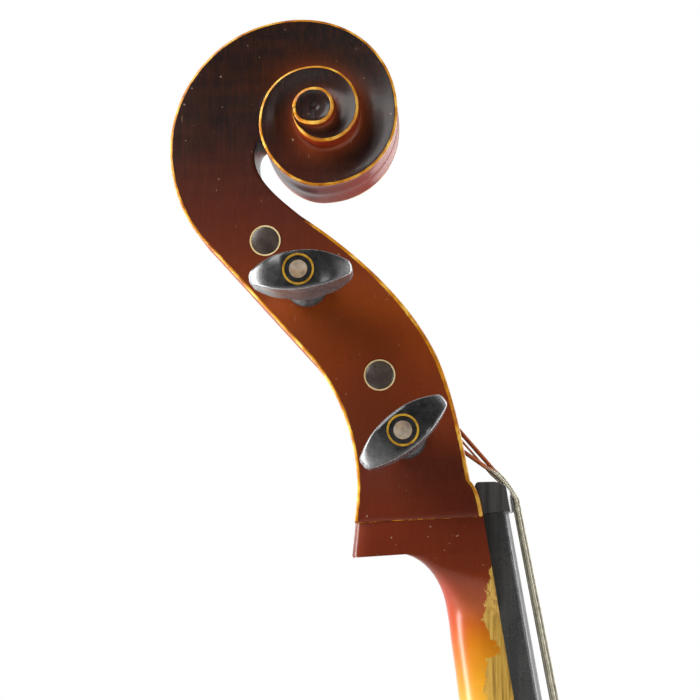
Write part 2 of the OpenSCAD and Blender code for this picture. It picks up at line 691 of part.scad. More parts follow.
collar_r = 16;
sleeve_r = 11.95;
module endpin_collar() {
    color("black") difference() {
        rotate_extrude() polygon([[0, bottom_z + overhang], [collar_r + 1, bottom_z + overhang],
            [collar_r + 1, bottom_z - 1.5], [collar_r - 2.8, bottom_z - 2.7], [collar_r - 2.8, bottom_z - 6.2],
            [collar_r, bottom_z - 8], [collar_r - 1, bottom_z - 14], [collar_r - 5, collar_low], [0, collar_low]]);
        cylinder(r = rod_r + 0.06, h = 200);
        translate([0, -30, collar_low + 7]) rotate([-90, 0, 0]) cylinder(r = 3, h = 30);
    }
}

module endpin_sleeve() {
    color("silver") difference() {
        translate([0, 0, bottom_z + overhang]) cylinder(r = sleeve_r, h = 36);
        cylinder(r = rod_r + 0.06, h = 200);
    }
}

module endpin_rod() {
    color("silver") translate([0, 0, 8]) cylinder(r = rod_r, h = rod_len);
}

module endpin_tip() {
    color("black") difference() {
        rotate_extrude() polygon(concat([[0, 0], [9, 0]], curve([[11, 2], [12, 8], [8.5, 12], [8, tip_top]], 5),
            [[0, tip_top]]));
        translate([0, 0, 8]) cylinder(r = rod_r, h = 30);
    }
}

module endpin_screw() {
    color("silver") translate([0, -rod_r - 0.4, collar_low + 7]) rotate([90, 0, 0]) {
        cylinder(r = 2.95, h = 16);
        translate([0, 0, 14]) difference() {
            cylinder(r = 8, h = 7);
            for (k = [0:7]) rotate([0, 0, 45 * k]) translate([9.2, 0, -1]) cylinder(r = 2.2, h = 9);
        }
    }
}

back_plate();
top_plate();
upper_rib_bass();
upper_rib_treble();
center_rib_bass();
center_rib_treble();
lower_rib_bass();
lower_rib_treble();
neck_block();
end_block();
upper_corner_blocks();
lower_corner_blocks();
top_linings();
back_linings();
bass_bar();
sound_post();
top_purfling();
back_purfling();
neck();
peg_bushings();
fingerboard();
nut();
saddle();
bridge();
tailpiece();
tail_gut();
string_c();
string_g();
string_d();
string_a();
peg_c();
peg_g();
peg_d();
peg_a();
winding_c();
winding_g();
winding_d();
winding_a();
peg_ring_c();
peg_ring_g();
peg_ring_d();
peg_ring_a();
peg_eye_c();
peg_eye_g();
peg_eye_d();
peg_eye_a();
tuner_axle();
tuner_lever_c();
tuner_lever_g();
tuner_lever_d();
tuner_lever_a();
tuner_screw_c();
tuner_screw_g();
tuner_screw_d();
tuner_screw_a();
endpin_collar();
endpin_sleeve();
endpin_rod();
endpin_screw();
endpin_tip();
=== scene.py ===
from math import acos, atan, atan2, copysign, cos, degrees, dist, exp, pi, radians, sin, sqrt, tan

import bmesh
import bpy
import numpy as np
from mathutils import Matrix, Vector


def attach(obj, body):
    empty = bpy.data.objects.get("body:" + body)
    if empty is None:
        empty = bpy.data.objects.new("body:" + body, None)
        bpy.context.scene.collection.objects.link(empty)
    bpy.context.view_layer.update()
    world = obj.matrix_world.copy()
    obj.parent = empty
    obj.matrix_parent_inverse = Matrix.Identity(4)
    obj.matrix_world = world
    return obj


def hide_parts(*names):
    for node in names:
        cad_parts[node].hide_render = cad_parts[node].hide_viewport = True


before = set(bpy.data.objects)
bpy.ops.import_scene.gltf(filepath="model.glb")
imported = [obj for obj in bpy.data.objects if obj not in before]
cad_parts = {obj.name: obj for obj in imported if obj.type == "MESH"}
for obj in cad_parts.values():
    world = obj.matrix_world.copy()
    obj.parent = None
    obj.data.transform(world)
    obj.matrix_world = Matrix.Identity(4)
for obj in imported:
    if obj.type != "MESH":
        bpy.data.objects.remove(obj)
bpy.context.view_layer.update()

# ---------------------------------------------------------------- places, in millimetres
MM = 0.001
CELLO = "cello"
STRINGS = "cgda"
NECK_ANGLE = radians(9.2)
NECK_LEN = 280.0
BODY_LEN = 755.0
BOTTOM_Z = 60.0
TOP_Z = BOTTOM_Z + BODY_LEN
RIB_X = 59.0                   # inner faces of the plates
EDGE_T = 4.5
MARGIN = 12.0                  # flat border of the plates
SEAT_X = RIB_X + EDGE_T + 20.0
NUT_X = SEAT_X - NECK_LEN * sin(NECK_ANGLE)
NUT_Z = TOP_Z + NECK_LEN * cos(NECK_ANGLE)
BELLY_ARCH, BACK_ARCH = 24.0, 25.0
BRIDGE_Z = TOP_Z - 400.0
BRIDGE_TOP_X = RIB_X + BELLY_ARCH + 97.0
BRIDGE_R, NUT_R = 62.0, 40.0   # curves that the strings lie on
BOARD_LEN, BOARD_SIDE, BOARD_R = 585.0, 9.0, 64.0
NUT_HALF, BOARD_END_HALF = 16.0, 31.5
NUT_SPACING, BRIDGE_SPACING, TUNER_SPACING = 7.4, 15.6, 11.5
NUT_CROWN = 15.6
PEG_AXIS = {"c": (-30.7, 30.4), "g": (-70.5, 92.3), "d": (-88.0, 112.0), "a": (-41.0, 56.0)}
PEG_SIDE = {"c": -1, "g": -1, "d": 1, "a": 1}
PEG_TURN = {"c": 39.0, "g": 6.0, "d": 131.0, "a": 119.0}
PEG_REACH, PEG_R, PEG_END_R, PEG_HEAD_HALF = 47.0, 7.0, 5.7, 20.0
WINDING_R = 6.9                # where the strings are wound on the pegs
STRING_R = {"c": 0.85, "g": 0.7, "d": 0.55, "a": 0.45}
# where each string leaves its peg, on that peg's side of the middle
WINDING_Y = {"c": 7.5, "g": 5.5, "d": 4.5, "a": 7.0}
SILK_END = 17.0                # the silk on the strings ends this far over the nut
EYE_X, EYE_Z = -66.7, 164.3    # middle of the scroll, from the corner of the nut
# the camera's place from the corner of the nut, and its direction
VIEW_FROM = (-16.86, -722.0, -15.6)
VIEW_ALONG = (-0.05102, 0.99198, 0.11564)


def at_nut(x, y, z):
    return [NUT_X + x, y, NUT_Z + z]


def on_neck(n, y, u):
    """A point n in front of the fingerboard's seat and u up the neck from the nut."""
    c, s = cos(NECK_ANGLE), sin(NECK_ANGLE)
    return [NUT_X + n * c - u * s, y, NUT_Z + n * s + u * c]


def on_tail(x, y, z):
    """A point in the tailpiece's own frame, which starts at its lower end."""
    slope = atan((BRIDGE_TOP_X - 72.0) / (BRIDGE_Z - BOTTOM_Z))
    c, s = cos(slope), sin(slope)
    return [RIB_X + EDGE_T + 14.0 + x * c + z * s, y, BOTTOM_Z + 12.0 - x * s + z * c]


def cheek(z):
    """Half width of the pegbox at a height over the nut."""
    return 23.0 - (z + 2.0) * 7.5 / 130.0


def sag(y, r):
    """How far a curve of radius r has dropped at y from its top."""
    return r - sqrt(max(0.0, r * r - y * y))


def ease(x):
    """Goes smoothly from 0 to 1 as x does."""
    x = min(1.0, max(0.0, x))
    return x * x * (3 - 2 * x)


# ---------------------------------------------------------------- camera, lights and floor
LIGHTS = [                     # name, place, height aimed at, size and power
    ("key", (-1.4, -1.3, 2.4), 1.1, (1.6, 1.6), 58),
    ("left", (-1.6, 0.15, 0.85), 1.0, (0.45, 1.7), 52),
    ("right", (1.6, -0.2, 1.2), 1.1, (0.5, 1.2), 5),
    ("right_back", (1.0, 0.9, 1.2), 1.1, (0.5, 1.6), 14),
    ("body", (1.7, -1.7, 0.9), 0.4, (1.0, 1.0), 15),
    ("behind", (-1.8, 1.8, 1.8), 0.7, (1.0, 1.0), 12)]
FLOOR_HALF, FLOOR_POINTS = 5.0, 41     # metres, and points along each side


def linked(name, data):
    obj = bpy.data.objects.new(name, data)
    bpy.context.collection.objects.link(obj)
    return obj


def make_camera():
    data = bpy.data.cameras.new("camera")
    data.lens = 90.0
    data.sensor_width = 36.0
    data.clip_end = 100.0
    camera = linked("camera", data)
    camera.location = Vector(at_nut(*VIEW_FROM)) * MM
    camera.rotation_euler = Vector(VIEW_ALONG).to_track_quat("-Z", "Y").to_euler()
    bpy.context.scene.camera = camera


def soft_light(name, place, aim_z, size, power):
    data = bpy.data.lights.new(name, "AREA")
    data.shape = "RECTANGLE"
    data.size, data.size_y = size
    data.energy = power
    lamp = linked(name, data)
    lamp.location = place
    lamp.visible_camera = False
    lamp.rotation_euler = (Vector((0, 0, aim_z)) - Vector(place)).to_track_quat("-Z", "Y").to_euler()


def make_studio():
    """Surroundings that are white to the camera and light the object from behind, and the lights."""
    scene = bpy.context.scene
    scene.view_settings.view_transform = "Standard"
    world = bpy.data.worlds.new("studio")
    scene.world = world
    world.use_nodes = True
    nodes, links = world.node_tree.nodes, world.node_tree.links
    seen = nodes["Background"]
    seen.inputs[0].default_value = (1, 1, 1, 1)
    seen.inputs[1].default_value = 1.0
    lit = nodes.new("ShaderNodeBackground")
    where = nodes.new("ShaderNodeTexCoord")
    turn = nodes.new("ShaderNodeSeparateXYZ")
    links.new(where.outputs["Generated"], turn.inputs[0])
    level = nodes.new("ShaderNodeMapRange")
    level.interpolation_type = "SMOOTHSTEP"
    links.new(turn.outputs["Y"], level.inputs[0])
    for socket, value in zip((1, 2, 3, 4), (-0.3, 0.6, 0.1, 1.0)):
        level.inputs[socket].default_value = value
    links.new(level.outputs[0], lit.inputs[0])
    path = nodes.new("ShaderNodeLightPath")
    pick = nodes.new("ShaderNodeMixShader")
    links.new(path.outputs["Is Camera Ray"], pick.inputs[0])
    links.new(lit.outputs[0], pick.inputs[1])
    links.new(seen.outputs[0], pick.inputs[2])
    links.new(pick.outputs[0], nodes["World Output"].inputs[0])
    for light in LIGHTS:
        soft_light(*light)


def make_floor():
    """The floor stays under the endpin's foot as the endpin slides."""
    side = np.linspace(-FLOOR_HALF, FLOOR_HALF, FLOOR_POINTS) / MM
    points = [[x, y, 0.0] for x in side for y in side]
    floor = new_object("floor", points, grid_faces(FLOOR_POINTS, FLOOR_POINTS))
    g = Graph("floor")
    tone = g.ramp(g.spots(3.0, 4.0), [(0.3, (208, 207, 205)), (0.7, (214, 213, 211))])
    floor.data.materials.append(g.finish(tone, 0.7))
    g.put(g.shader.inputs["Emission Color"], (0.9, 0.9, 0.9, 1.0))
    g.put(g.shader.inputs["Emission Strength"], 0.3)
    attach(floor, "endpin")


# ---------------------------------------------------------------- lines of points
def bezier(p, n):
    t = np.linspace(0.0, 1.0, n + 1)[:, None]
    p = np.array(p, float)
    return (1 - t) ** 3 * p[0] + 3 * (1 - t) ** 2 * t * p[1] + 3 * (1 - t) * t ** 2 * p[2] + t ** 3 * p[3]


def joined(*parts):
    """Joins runs of points, leaving out the first point of a run that repeats the last one."""
    out = [np.array(parts[0], float)]
    for part in parts[1:]:
        part = np.array(part, float)
        out.append(part[1:] if np.allclose(part[0], out[-1][-1]) else part)
    return np.vstack(out)


def curve(start, *bends):
    """Bezier curves end to end. A bend is two handles, an end point and a number of steps."""
    parts = []
    for first, second, end, steps in bends:
        parts.append(bezier([start, first, second, end], steps))
        start = end
    return joined(*parts)


def run_along(points):
    """The length along a line, up to each of its points."""
    return np.concatenate([[0], np.cumsum(np.linalg.norm(np.diff(points, axis=0), axis=1))])


def spaced(points, n):
    """n points evenly spaced along a line of points."""
    points = np.array(points, float)
    run = run_along(points)
    at = np.linspace(0, run[-1], n)
    return np.stack([np.interp(at, run, points[:, k]) for k in range(points.shape[1])], 1)


def smoothed(points, times=2):
    """Cuts the corners of a line of points, keeping its ends."""
    points = np.array(points, float)
    for _ in range(times):
        a, b = points[:-1], points[1:]
        cut = np.empty((2 * len(a), points.shape[1]))
        cut[0::2], cut[1::2] = 0.75 * a + 0.25 * b, 0.25 * a + 0.75 * b
        points = np.vstack([points[:1], cut, points[-1:]])
    return points


def across(line):
    """Unit vectors to the left of a flat line, at each of its points."""
    ahead = np.gradient(line, axis=0)
    ahead /= np.linalg.norm(ahead, axis=1)[:, None]
    return np.stack([-ahead[:, 1], ahead[:, 0]], 1)


def around(n):
    """n angles evenly round a circle."""
    return np.linspace(0, 2 * pi, n, endpoint=False)


def disc(y, z, r):
    return np.stack([y + r * np.cos(around(40)), z + r * np.sin(around(40))], 1)


# ---------------------------------------------------------------- meshes
def grid_faces(rows, cols, start=0, wrap=False):
    """Faces of a grid whose points run along each row in turn."""
    last = cols if wrap else cols - 1
    return [(start + r * cols + c, start + r * cols + (c + 1) % cols,
             start + (r + 1) * cols + (c + 1) % cols, start + (r + 1) * cols + c)
            for r in range(rows - 1) for c in range(last)]


def ring_faces(rows, cols, start=0):
    """Faces through closed rings, with a lid on the first and the last."""
    end = start + rows * cols
    lids = [tuple(range(start, start + cols)), tuple(range(end - 1, end - cols - 1, -1))]
    return grid_faces(rows, cols, start, wrap=True) + lids


def shade(mesh, angle):
    mesh.shade_smooth()
    mesh.set_sharp_from_angle(angle=radians(angle))


def set_mark(mesh, mark, values):
    """Gives each point a number, or a linear colour, under a name that the materials read."""
    values = np.array(values, np.float32)
    kind, field = "FLOAT", "value"
    if values.ndim == 2:
        kind, field = "FLOAT_COLOR", "color"
        values = np.hstack([values, np.ones((len(values), 1), np.float32)])
    layer = mesh.attributes.get(mark) or mesh.attributes.new(mark, kind, "POINT")
    layer.data.foreach_set(field, values.ravel())


def new_object(name, points, faces, angle=38.0, **marks):
    """A mesh object from points in millimetres, smooth up to an angle between faces."""
    mesh = bpy.data.meshes.new(name)
    mesh.from_pydata([tuple(v) for v in np.array(points, float) * MM], [], faces)
    for mark, values in marks.items():
        set_mark(mesh, mark, values)
    bm = bmesh.new()
    bm.from_mesh(mesh)
    bmesh.ops.recalc_face_normals(bm, faces=bm.faces)
    bm.to_mesh(mesh)
    bm.free()
    shade(mesh, angle)
    return linked(name, mesh)


def lofted(name, rings, angle=38.0, **marks):
    """A skin through rings with the same number of points, closed by its end rings."""
    return new_object(name, np.vstack(rings), ring_faces(len(rings), len(rings[0])), angle, **marks)


def cut_out(obj, cutters, angle):
    """Cuts closed meshes out of a closed mesh, and removes the cutters."""
    for cutter in cutters:
        mod = obj.modifiers.new("cut", "BOOLEAN")
        mod.object = cutter
        mod.operation = "DIFFERENCE"
        mod.solver = "EXACT"
    graph = bpy.context.evaluated_depsgraph_get()
    mesh = bpy.data.meshes.new_from_object(obj.evaluated_get(graph))
    obj.modifiers.clear()
    obj.data = mesh
    shade(mesh, angle)
    for cutter in cutters:
        bpy.data.objects.remove(cutter)


def tube(name, path, radius, sides=14):
    """A round bar along a line of points. Its mark "run" is the length from its start, in millimetres."""
    path = np.array(path, float)
    a = around(sides)[:, None]
    rings = []
    for k, p in enumerate(path):
        ahead = path[min(k + 1, len(path) - 1)] - path[max(k - 1, 0)]
        ahead /= np.linalg.norm(ahead)
        side = np.cross(ahead, [0.0, 1.0, 0.0])
        side /= np.linalg.norm(side)
        up = np.cross(side, ahead)
        rings.append(p + radius * (np.cos(a) * side + np.sin(a) * up))
    return lofted(name, rings, run=np.repeat(run_along(path), sides))


def show(obj, body, slot, material, *nodes):
    """Puts a finished piece on its body, with its material, in place of CAD nodes."""
    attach(obj, body)
    if nodes:
        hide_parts(*nodes)
    obj.data.materials.clear()
    obj.data.materials.append(material)


def repaint(node, material):
    """Gives a CAD node its finished material."""
    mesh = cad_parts[node].data
    for k in range(len(mesh.materials)):
        mesh.materials[k] = material


# ---------------------------------------------------------------- colours
def to_linear(colors):
    """Linear colours from the usual 0 to 255 numbers."""
    c = np.clip(np.array(colors, float), 0, 255) / 255.0
    return np.where(c <= 0.04045, c / 12.92, ((c + 0.055) / 1.055) ** 2.4)


def rgb(color):
    return tuple(to_linear(color)) + (1.0,)


def blend_color(value, stops):
    """The colour at each value, between stops of a value and a colour."""
    at = [s[0] for s in stops]
    return np.stack([np.interp(value, at, [s[1][k] for s in stops]) for k in range(3)], -1)


def toward(base, color, share):
    """Colours moved toward another one, by a share for each."""
    share = np.array(share)[:, None]
    return base * (1 - share) + share * np.array(color)


# ---------------------------------------------------------------- materials
class Graph:
    """A material under construction."""

    def __init__(self, name, material=None):
        self.material = material or bpy.data.materials.new(name)
        self.material.use_nodes = True
        self.nodes = self.material.node_tree.nodes
        self.links = self.material.node_tree.links
        self.shader = self.nodes["Principled BSDF"]

    def put(self, socket, value):
        if hasattr(value, "is_output"):
            self.links.new(value, socket)
        elif isinstance(value, tuple) and len(value) == 3 and socket.type == "RGBA":
            socket.default_value = rgb(value)
        else:
            socket.default_value = value

    def node(self, kind, *inputs, out=0, **settings):
        made = self.nodes.new("ShaderNode" + kind)
        for key, value in settings.items():
            setattr(made, key, value)
        for socket, value in zip(made.inputs, inputs):
            if value is not None:
                self.put(socket, value)
        return made.outputs[out]

    def place(self, scale=(1, 1, 1), move=(0, 0, 0), turn=(0, 0, 0)):
        """The object's own coordinates, in metres, moved and then scaled."""
        coords = self.node("TexCoord", out=3)
        moved = self.node("VectorMath", coords, move, operation="ADD")
        return self.node("Mapping", moved, (0, 0, 0), turn, scale)

    def part(self, axis, move):
        """One coordinate, in metres, after a move."""
        return self.node("SeparateXYZ", self.place(move=move), out="xyz".index(axis))

    def noise(self, where, scale=1.0, detail=3.0, rough=0.5):
        made = self.nodes.new("ShaderNodeTexNoise")
        self.links.new(where, made.inputs["Vector"])
        made.inputs["Scale"].default_value = scale
        made.inputs["Detail"].default_value = detail
        made.inputs["Roughness"].default_value = rough
        return made.outputs["Fac"]

    def spots(self, scale, detail=3.0, rough=0.5):
        """Noise that is alike in all directions."""
        return self.noise(self.place(), scale, detail, rough)

    def grain(self, scale, detail=3.0, rough=0.5, turn=(0, 0, 0), drift=None):
        """Noise with its own scale along each axis, bent by a drift."""
        where = self.place(scale, turn=turn)
        if drift is not None:
            where = self.node("VectorMath", where, drift, operation="ADD")
        return self.noise(where, 1.0, detail, rough)

    def math(self, operation, a, b=0.5):
        return self.node("Math", a, b, operation=operation)

    def level(self, value, low, high, to_low=0.0, to_high=1.0):
        return self.node("MapRange", value, float(low), float(high), float(to_low), float(to_high))

    def ramp(self, value, stops):
        made = self.nodes.new("ShaderNodeValToRGB")
        self.links.new(value, made.inputs[0])
        bar = made.color_ramp.elements
        while len(bar) < len(stops):
            bar.new(0.5)
        for element, (position, color) in zip(bar, stops):
            element.position = position
            element.color = rgb(color)
        return made.outputs[0]

    def mix(self, share, a, b, blend="MIX"):
        made = self.nodes.new("ShaderNodeMix")
        made.data_type = "RGBA"
        made.blend_type = blend
        self.put(made.inputs[0], share)
        self.put(made.inputs[6], a)
        self.put(made.inputs[7], b)
        return made.outputs[2]

    def over(self, color, top, value, low, high, share=1.0):
        """Lays a colour over another, more as the value goes from low to high, up to a share."""
        return self.mix(self.level(value, low, high, 0.0, share), color, top)

    def mark(self, name, out=2):
        return self.node("Attribute", out=out, attribute_name=name)

    def rubbed(self, color, bare):
        """Shows a bare colour, with a ragged border, where the mark "wear" is high."""
        ragged = self.level(self.spots(240.0, 4.0, 0.6), 0.3, 0.7, -0.3, 0.2)
        return self.over(color, bare, self.math("ADD", self.mark("wear"), ragged), 0.5, 0.7)

    def bump(self, height, depth, after=None, strength=1.0):
        made = self.nodes.new("ShaderNodeBump")
        made.inputs["Strength"].default_value = strength
        made.inputs["Distance"].default_value = depth
        self.links.new(height, made.inputs["Height"])
        if after is not None:
            self.links.new(after, made.inputs["Normal"])
        return made.outputs[0]

    def finish(self, color, rough, normal=None, metallic=0.0, coat=0.0, coat_rough=0.1, specular=0.5):
        self.put(self.shader.inputs["Base Color"], color)
        self.put(self.shader.inputs["Roughness"], rough)
        self.put(self.shader.inputs["Metallic"], metallic)
        self.shader.inputs["Coat Weight"].default_value = coat
        self.shader.inputs["Coat Roughness"].default_value = coat_rough
        self.shader.inputs["Specular IOR Level"].default_value = specular
        if normal is not None:
            self.links.new(normal, self.shader.inputs["Normal"])
        return self.material


def varnished_maple(name="varnished_maple"):
    """Red-brown varnish: tone holds the shading of the finish, wear its rubbed golden edges."""
    g = Graph(name)
    fine = g.grain((900, 900, 60), 3.0, 0.6)
    cloud = g.spots(38.0, 4.0, 0.55)
    color = g.over(g.mark("tone", 0), (40, 18, 14), cloud, 0.3, 0.7, 0.2)
    color = g.over(color, (176, 86, 40), fine, 0.35, 0.75, 0.05)
    color = g.over(color, (196, 92, 34), g.grain((22, 14, 130), 2.0, 0.5), 0.42, 0.66, 0.02)
    color = g.over(color, (176, 150, 128), g.spots(620.0, 1.0, 0.4), 0.765, 0.8, 0.5)
    scratch = g.level(g.grain((2600, 2600, 150), 0.0, 0.3, turn=(0.35, 0.5, 0.2)), 0.8, 0.84)
    gate = g.level(g.spots(75.0, 1.0, 0.4), 0.62, 0.7, 0.0, 0.5)
    color = g.mix(g.math("MULTIPLY", scratch, gate), color, (190, 160, 135))
    worn = g.math("ADD", g.mark("wear"), g.level(g.spots(420.0, 4.0, 0.65), 0.3, 0.7, -0.2, 0.2))
    worn = g.math("ADD", worn, g.level(g.spots(55.0, 2.0, 0.5), 0.35, 0.7, -0.2, 0.12))
    golds = [(0.3, (150, 78, 16)), (0.5, (196, 128, 22)), (0.66, (226, 178, 74))]
    color = g.over(color, g.ramp(g.spots(160.0, 3.0, 0.5), golds), worn, 0.5, 0.68)
    normal = g.bump(cloud, 0.0004, g.bump(fine, 0.00004), 0.5)
    return g.finish(color, g.level(cloud, 0.3, 0.7, 0.24, 0.34), normal, coat=0.08, specular=0.22)


def flamed_maple():
    """Back and ribs: strong cross flame under red-brown varnish, darker to the edges."""
    g = Graph("flamed_maple")
    flame = g.grain((4, 8, 150), 2.0, 0.45, drift=g.grain((6, 3, 9), 3.0, 0.5))
    fine = g.grain((900, 900, 40), 3.0, 0.6)
    base = g.ramp(flame, [(0.34, (112, 48, 22)), (0.5, (150, 70, 28)), (0.66, (186, 100, 42))])
    color = g.mix(0.55, base, g.mark("tone", 0), "MULTIPLY")
    color = g.rubbed(g.over(color, (78, 30, 14), fine, 0.4, 0.8, 0.2), (226, 160, 52))
    return g.finish(color, 0.33, g.bump(fine, 0.00004), coat=0.25, coat_rough=0.12, specular=0.3)


def varnished_spruce():
    """Belly: straight close grain under golden varnish that darkens towards the edges."""
    g = Graph("varnished_spruce")
    grain = g.grain((0, 560, 3), 2.0, 0.55, drift=g.grain((2, 2, 1.2), 2.0, 0.5))
    color = g.over(g.mark("tone", 0), (96, 40, 14), grain, 0.42, 0.64, 0.5)
    color = g.over(color, (240, 176, 92), g.grain((60, 2600, 30), 2.0, 0.6), 0.4, 0.8, 0.2)
    color = g.rubbed(color, (228, 172, 70))
    return g.finish(color, 0.36, g.bump(grain, 0.00006), coat=0.2, coat_rough=0.12, specular=0.3)


def ebony(name, dark, light, rough, grain=(500, 500, 14), worn=0.0, coat=0.0):
    """Black wood with fine pores along one direction, grey where it is handled and brown on a cut end."""
    g = Graph(name)
    pores = g.grain(grain, 3.0, 0.6)
    patch = g.spots(90.0, 4.0, 0.6)
    color = g.ramp(pores, [(0.34, dark), (0.7, light)])
    if worn:
        speck = g.level(g.spots(2400.0, 2.0, 0.7), 0.4, 0.62, 0.0, worn)
        color = g.mix(g.math("MULTIPLY", g.mark("wear"), speck), color, (196, 196, 200))
        color = g.mix(g.mark("cut"), color, g.ramp(patch, [(0.3, (46, 39, 35)), (0.7, (86, 74, 66))]))
    shine = g.level(patch, 0.3, 0.7, rough - 0.05, rough + 0.08)
    return g.finish(color, shine, g.bump(pores, 0.00003), coat=coat, coat_rough=0.2)


def metal(name, color, rough):
    g = Graph(name)
    brushed = g.grain((1400, 1400, 90), 2.0, 0.5)
    dull = tuple(int(c * 0.62) for c in color)
    look = g.ramp(g.spots(240.0, 4.0, 0.6), [(0.32, dull), (0.6, color)])
    shine = g.level(brushed, 0.3, 0.7, rough - 0.04, rough + 0.1)
    return g.finish(look, shine, g.bump(brushed, 0.00001), metallic=1.0)


def two_tone(name, pattern, dark, light, rough, depth, **gloss):
    """A plain material that goes from dark to light with a pattern, which is also its relief."""
    g = Graph(name)
    value = pattern(g)
    return g.finish(g.ramp(value, [dark, light]), rough, g.bump(value, depth), **gloss)


def brass_ring():
    return two_tone("brass", lambda g: g.spots(300.0, 3.0, 0.6), (0.32, (150, 104, 22)),
                    (0.6, (206, 160, 50)), 0.32, 0.00002, metallic=0.35)


def silk_winding():
    return two_tone("silk_winding", lambda g: g.grain((2600, 1400, 2600), 2.0, 0.6),
                    (0.3, (150, 62, 26)), (0.7, (208, 112, 50)), 0.6, 0.00006)


def purfling_wood():
    """The thin dark line let into the border of the plates."""
    return two_tone("purfling", lambda g: g.grain((1200, 1200, 300), 2.0, 0.5),
                    (0.3, (22, 16, 13)), (0.7, (44, 30, 22)), 0.35, 0.00003, coat=0.4)


def rubber():
    return two_tone("rubber", lambda g: g.spots(900.0, 3.0, 0.7), (0.3, (22, 22, 23)),
                    (0.75, (48, 48, 50)), 0.75, 0.0001, specular=0.3)


def mother_of_pearl():
    g = Graph("pearl")
    swirl = g.spots(330.0, 4.0, 0.55)
    bands = g.grain((260, 260, 900), 2.0, 0.5, turn=(0.6, 0.3, 0.2))
    color = g.ramp(swirl, [(0.3, (104, 90, 80)), (0.5, (142, 128, 112)), (0.7, (166, 156, 140))])
    color = g.over(color, (176, 136, 92), bands, 0.5, 0.62, 0.45)
    return g.finish(color, 0.28, g.bump(swirl, 0.0001), coat=0.5)


def wound_string():
    """Metal tape wound on the string, with silk where it runs to its peg."""
    g = Graph("wound_string")
    ridge = g.math("SINE", g.math("MULTIPLY", g.mark("run"), 11.0))
    height = g.part("z", (0, 0, -(NUT_Z + SILK_END) * MM))
    hue = g.spots(420.0, 3.0, 0.6)
    wire = g.ramp(hue, [(0.3, (146, 140, 118)), (0.7, (196, 190, 170))])
    thread = g.ramp(hue, [(0.3, (168, 74, 30)), (0.7, (214, 118, 52))])
    color = g.over(wire, thread, height, 0.0, 0.003)
    rough, metallic = g.level(height, 0.0, 0.003, 0.3, 0.6), g.level(height, 0.0, 0.003, 0.75, 0.0)
    return g.finish(color, rough, g.bump(ridge, 0.00008), metallic)


def pale_wood(name, dark, light, rough, fleck=0.0):
    g = Graph(name)
    grain = g.grain((500, 500, 30), 3.0, 0.6)
    color = g.ramp(grain, [(0.3, dark), (0.7, light)])
    if fleck:
        color = g.over(color, (140, 84, 40), g.grain((260, 900, 260), 1.0, 0.5), 0.6, 0.66, fleck)
    return g.finish(color, rough, g.bump(grain, 0.00003), specular=0.35)


def tail_cord():
    g = Graph("tail_cord")
    twist = g.math("SINE", g.math("MULTIPLY", g.mark("run"), 3.2))
    color = g.ramp(g.level(twist, -1.0, 1.0), [(0.1, (20, 20, 22)), (0.9, (58, 58, 60))])
    return g.finish(color, 0.5, g.bump(twist, 0.0002))


def bare_neck():
    """The neck's varnish, rubbed through to pale wood beside the fingerboard."""
    g = Graph("rubbed_neck", varnished_maple("rubbed_neck"))
    varnish = g.shader.inputs["Base Color"].links[0].from_socket
    seat_top = (-SEAT_X * MM, 0, -TOP_Z * MM)
    lean = g.math("MULTIPLY", g.part("z", seat_top), tan(NECK_ANGLE))
    behind = g.math("MULTIPLY", g.math("ADD", g.part("x", seat_top), lean), -1.0)
    drop = g.part("z", (0, 0, -NUT_Z * MM))
    width = g.level(drop, -0.040, -0.0165, 0.0066, -0.001)
    for low, high, grow in ((-0.053, -0.044, -0.0036), (-0.0572, -0.0552, 0.0058), (-0.08, -0.058, 0.0040)):
        width = g.math("ADD", width, g.level(drop, low, high, grow, 0.0))
    ragged = g.noise(g.place((1, 1, 0.6)), 420.0, 5.0, 0.65)
    width = g.math("ADD", width, g.level(ragged, 0.3, 0.7, -0.0016, 0.0016))
    share = g.level(g.math("SUBTRACT", width, behind), 0.0, 0.0004)
    share = g.math("MULTIPLY", share, g.mark("bare"))
    streaks = g.grain((900, 900, 45), 4.0, 0.65)
    wood = g.ramp(streaks, [(0.3, (118, 88, 38)), (0.5, (166, 130, 54)), (0.7, (190, 156, 78))])
    return g.finish(g.mix(share, varnish, wood), g.level(share, 0.0, 1.0, 0.3, 0.5),
                    coat=0.25, coat_rough=0.2, specular=0.12)


# ---------------------------------------------------------------- pegbox and scroll
HEAD_BACK = joined(
    [[-51.0, -2.3], [-50.3, 4.0]],
    bezier([[-50, 10], [-50, 30], [-57, 48], [-68, 62]], 16),
    bezier([[-112, 110.5], [-121, 119], [-128.3, 135], [-128.3, 152]], 12))
SCROLL_LINE = curve(
    (-128.3, 152), ((-128.3, 181), (-105, 206.1), (-74, 206.1), 40),
    ((-50, 206.1), (-33.5, 188), (-33.5, 166), 40), ((-33.5, 148), (-47, 134.3), (-66, 134.3), 40),
    ((-79, 134.3), (-90.5, 148), (-90.5, 160), 40), ((-90.5, 173.5), (-81, 183.5), (-67.5, 183.5), 40),
    ((-57, 183.5), (-49.2, 175.5), (-49.2, 165.5), 40), ((-49.2, 157), (-56, 150.7), (-64, 150.7), 40),
    ((-71, 150.7), (-75.9, 156.5), (-75.9, 164), 40), ((-75.9, 168.8), (-72, 172.3), (-66.8, 172.3), 30),
    ((-62.2, 172.3), (-59, 168.8), (-59, 164.5), 30), ((-59, 160.2), (-62.2, 156.8), (-66.8, 156.8), 30),
    ((-71.3, 156.8), (-75.9, 158.4), (-75.9, 164), 30))
HEAD_FRONT = curve(
    (-91.1, 155.4), ((-93.6, 152), (-93.5, 150), (-93.2, 147), 6),
    ((-92, 138), (-84, 131), (-73.5, 122.5), 12), ((-50, 107), (-27, 85), (-17, 62), 24),
    ((-10.5, 46), (-7, 25), (-5, 13.5), 14), ((-1.5, 10), (-1, 6), (0, 0), 8))
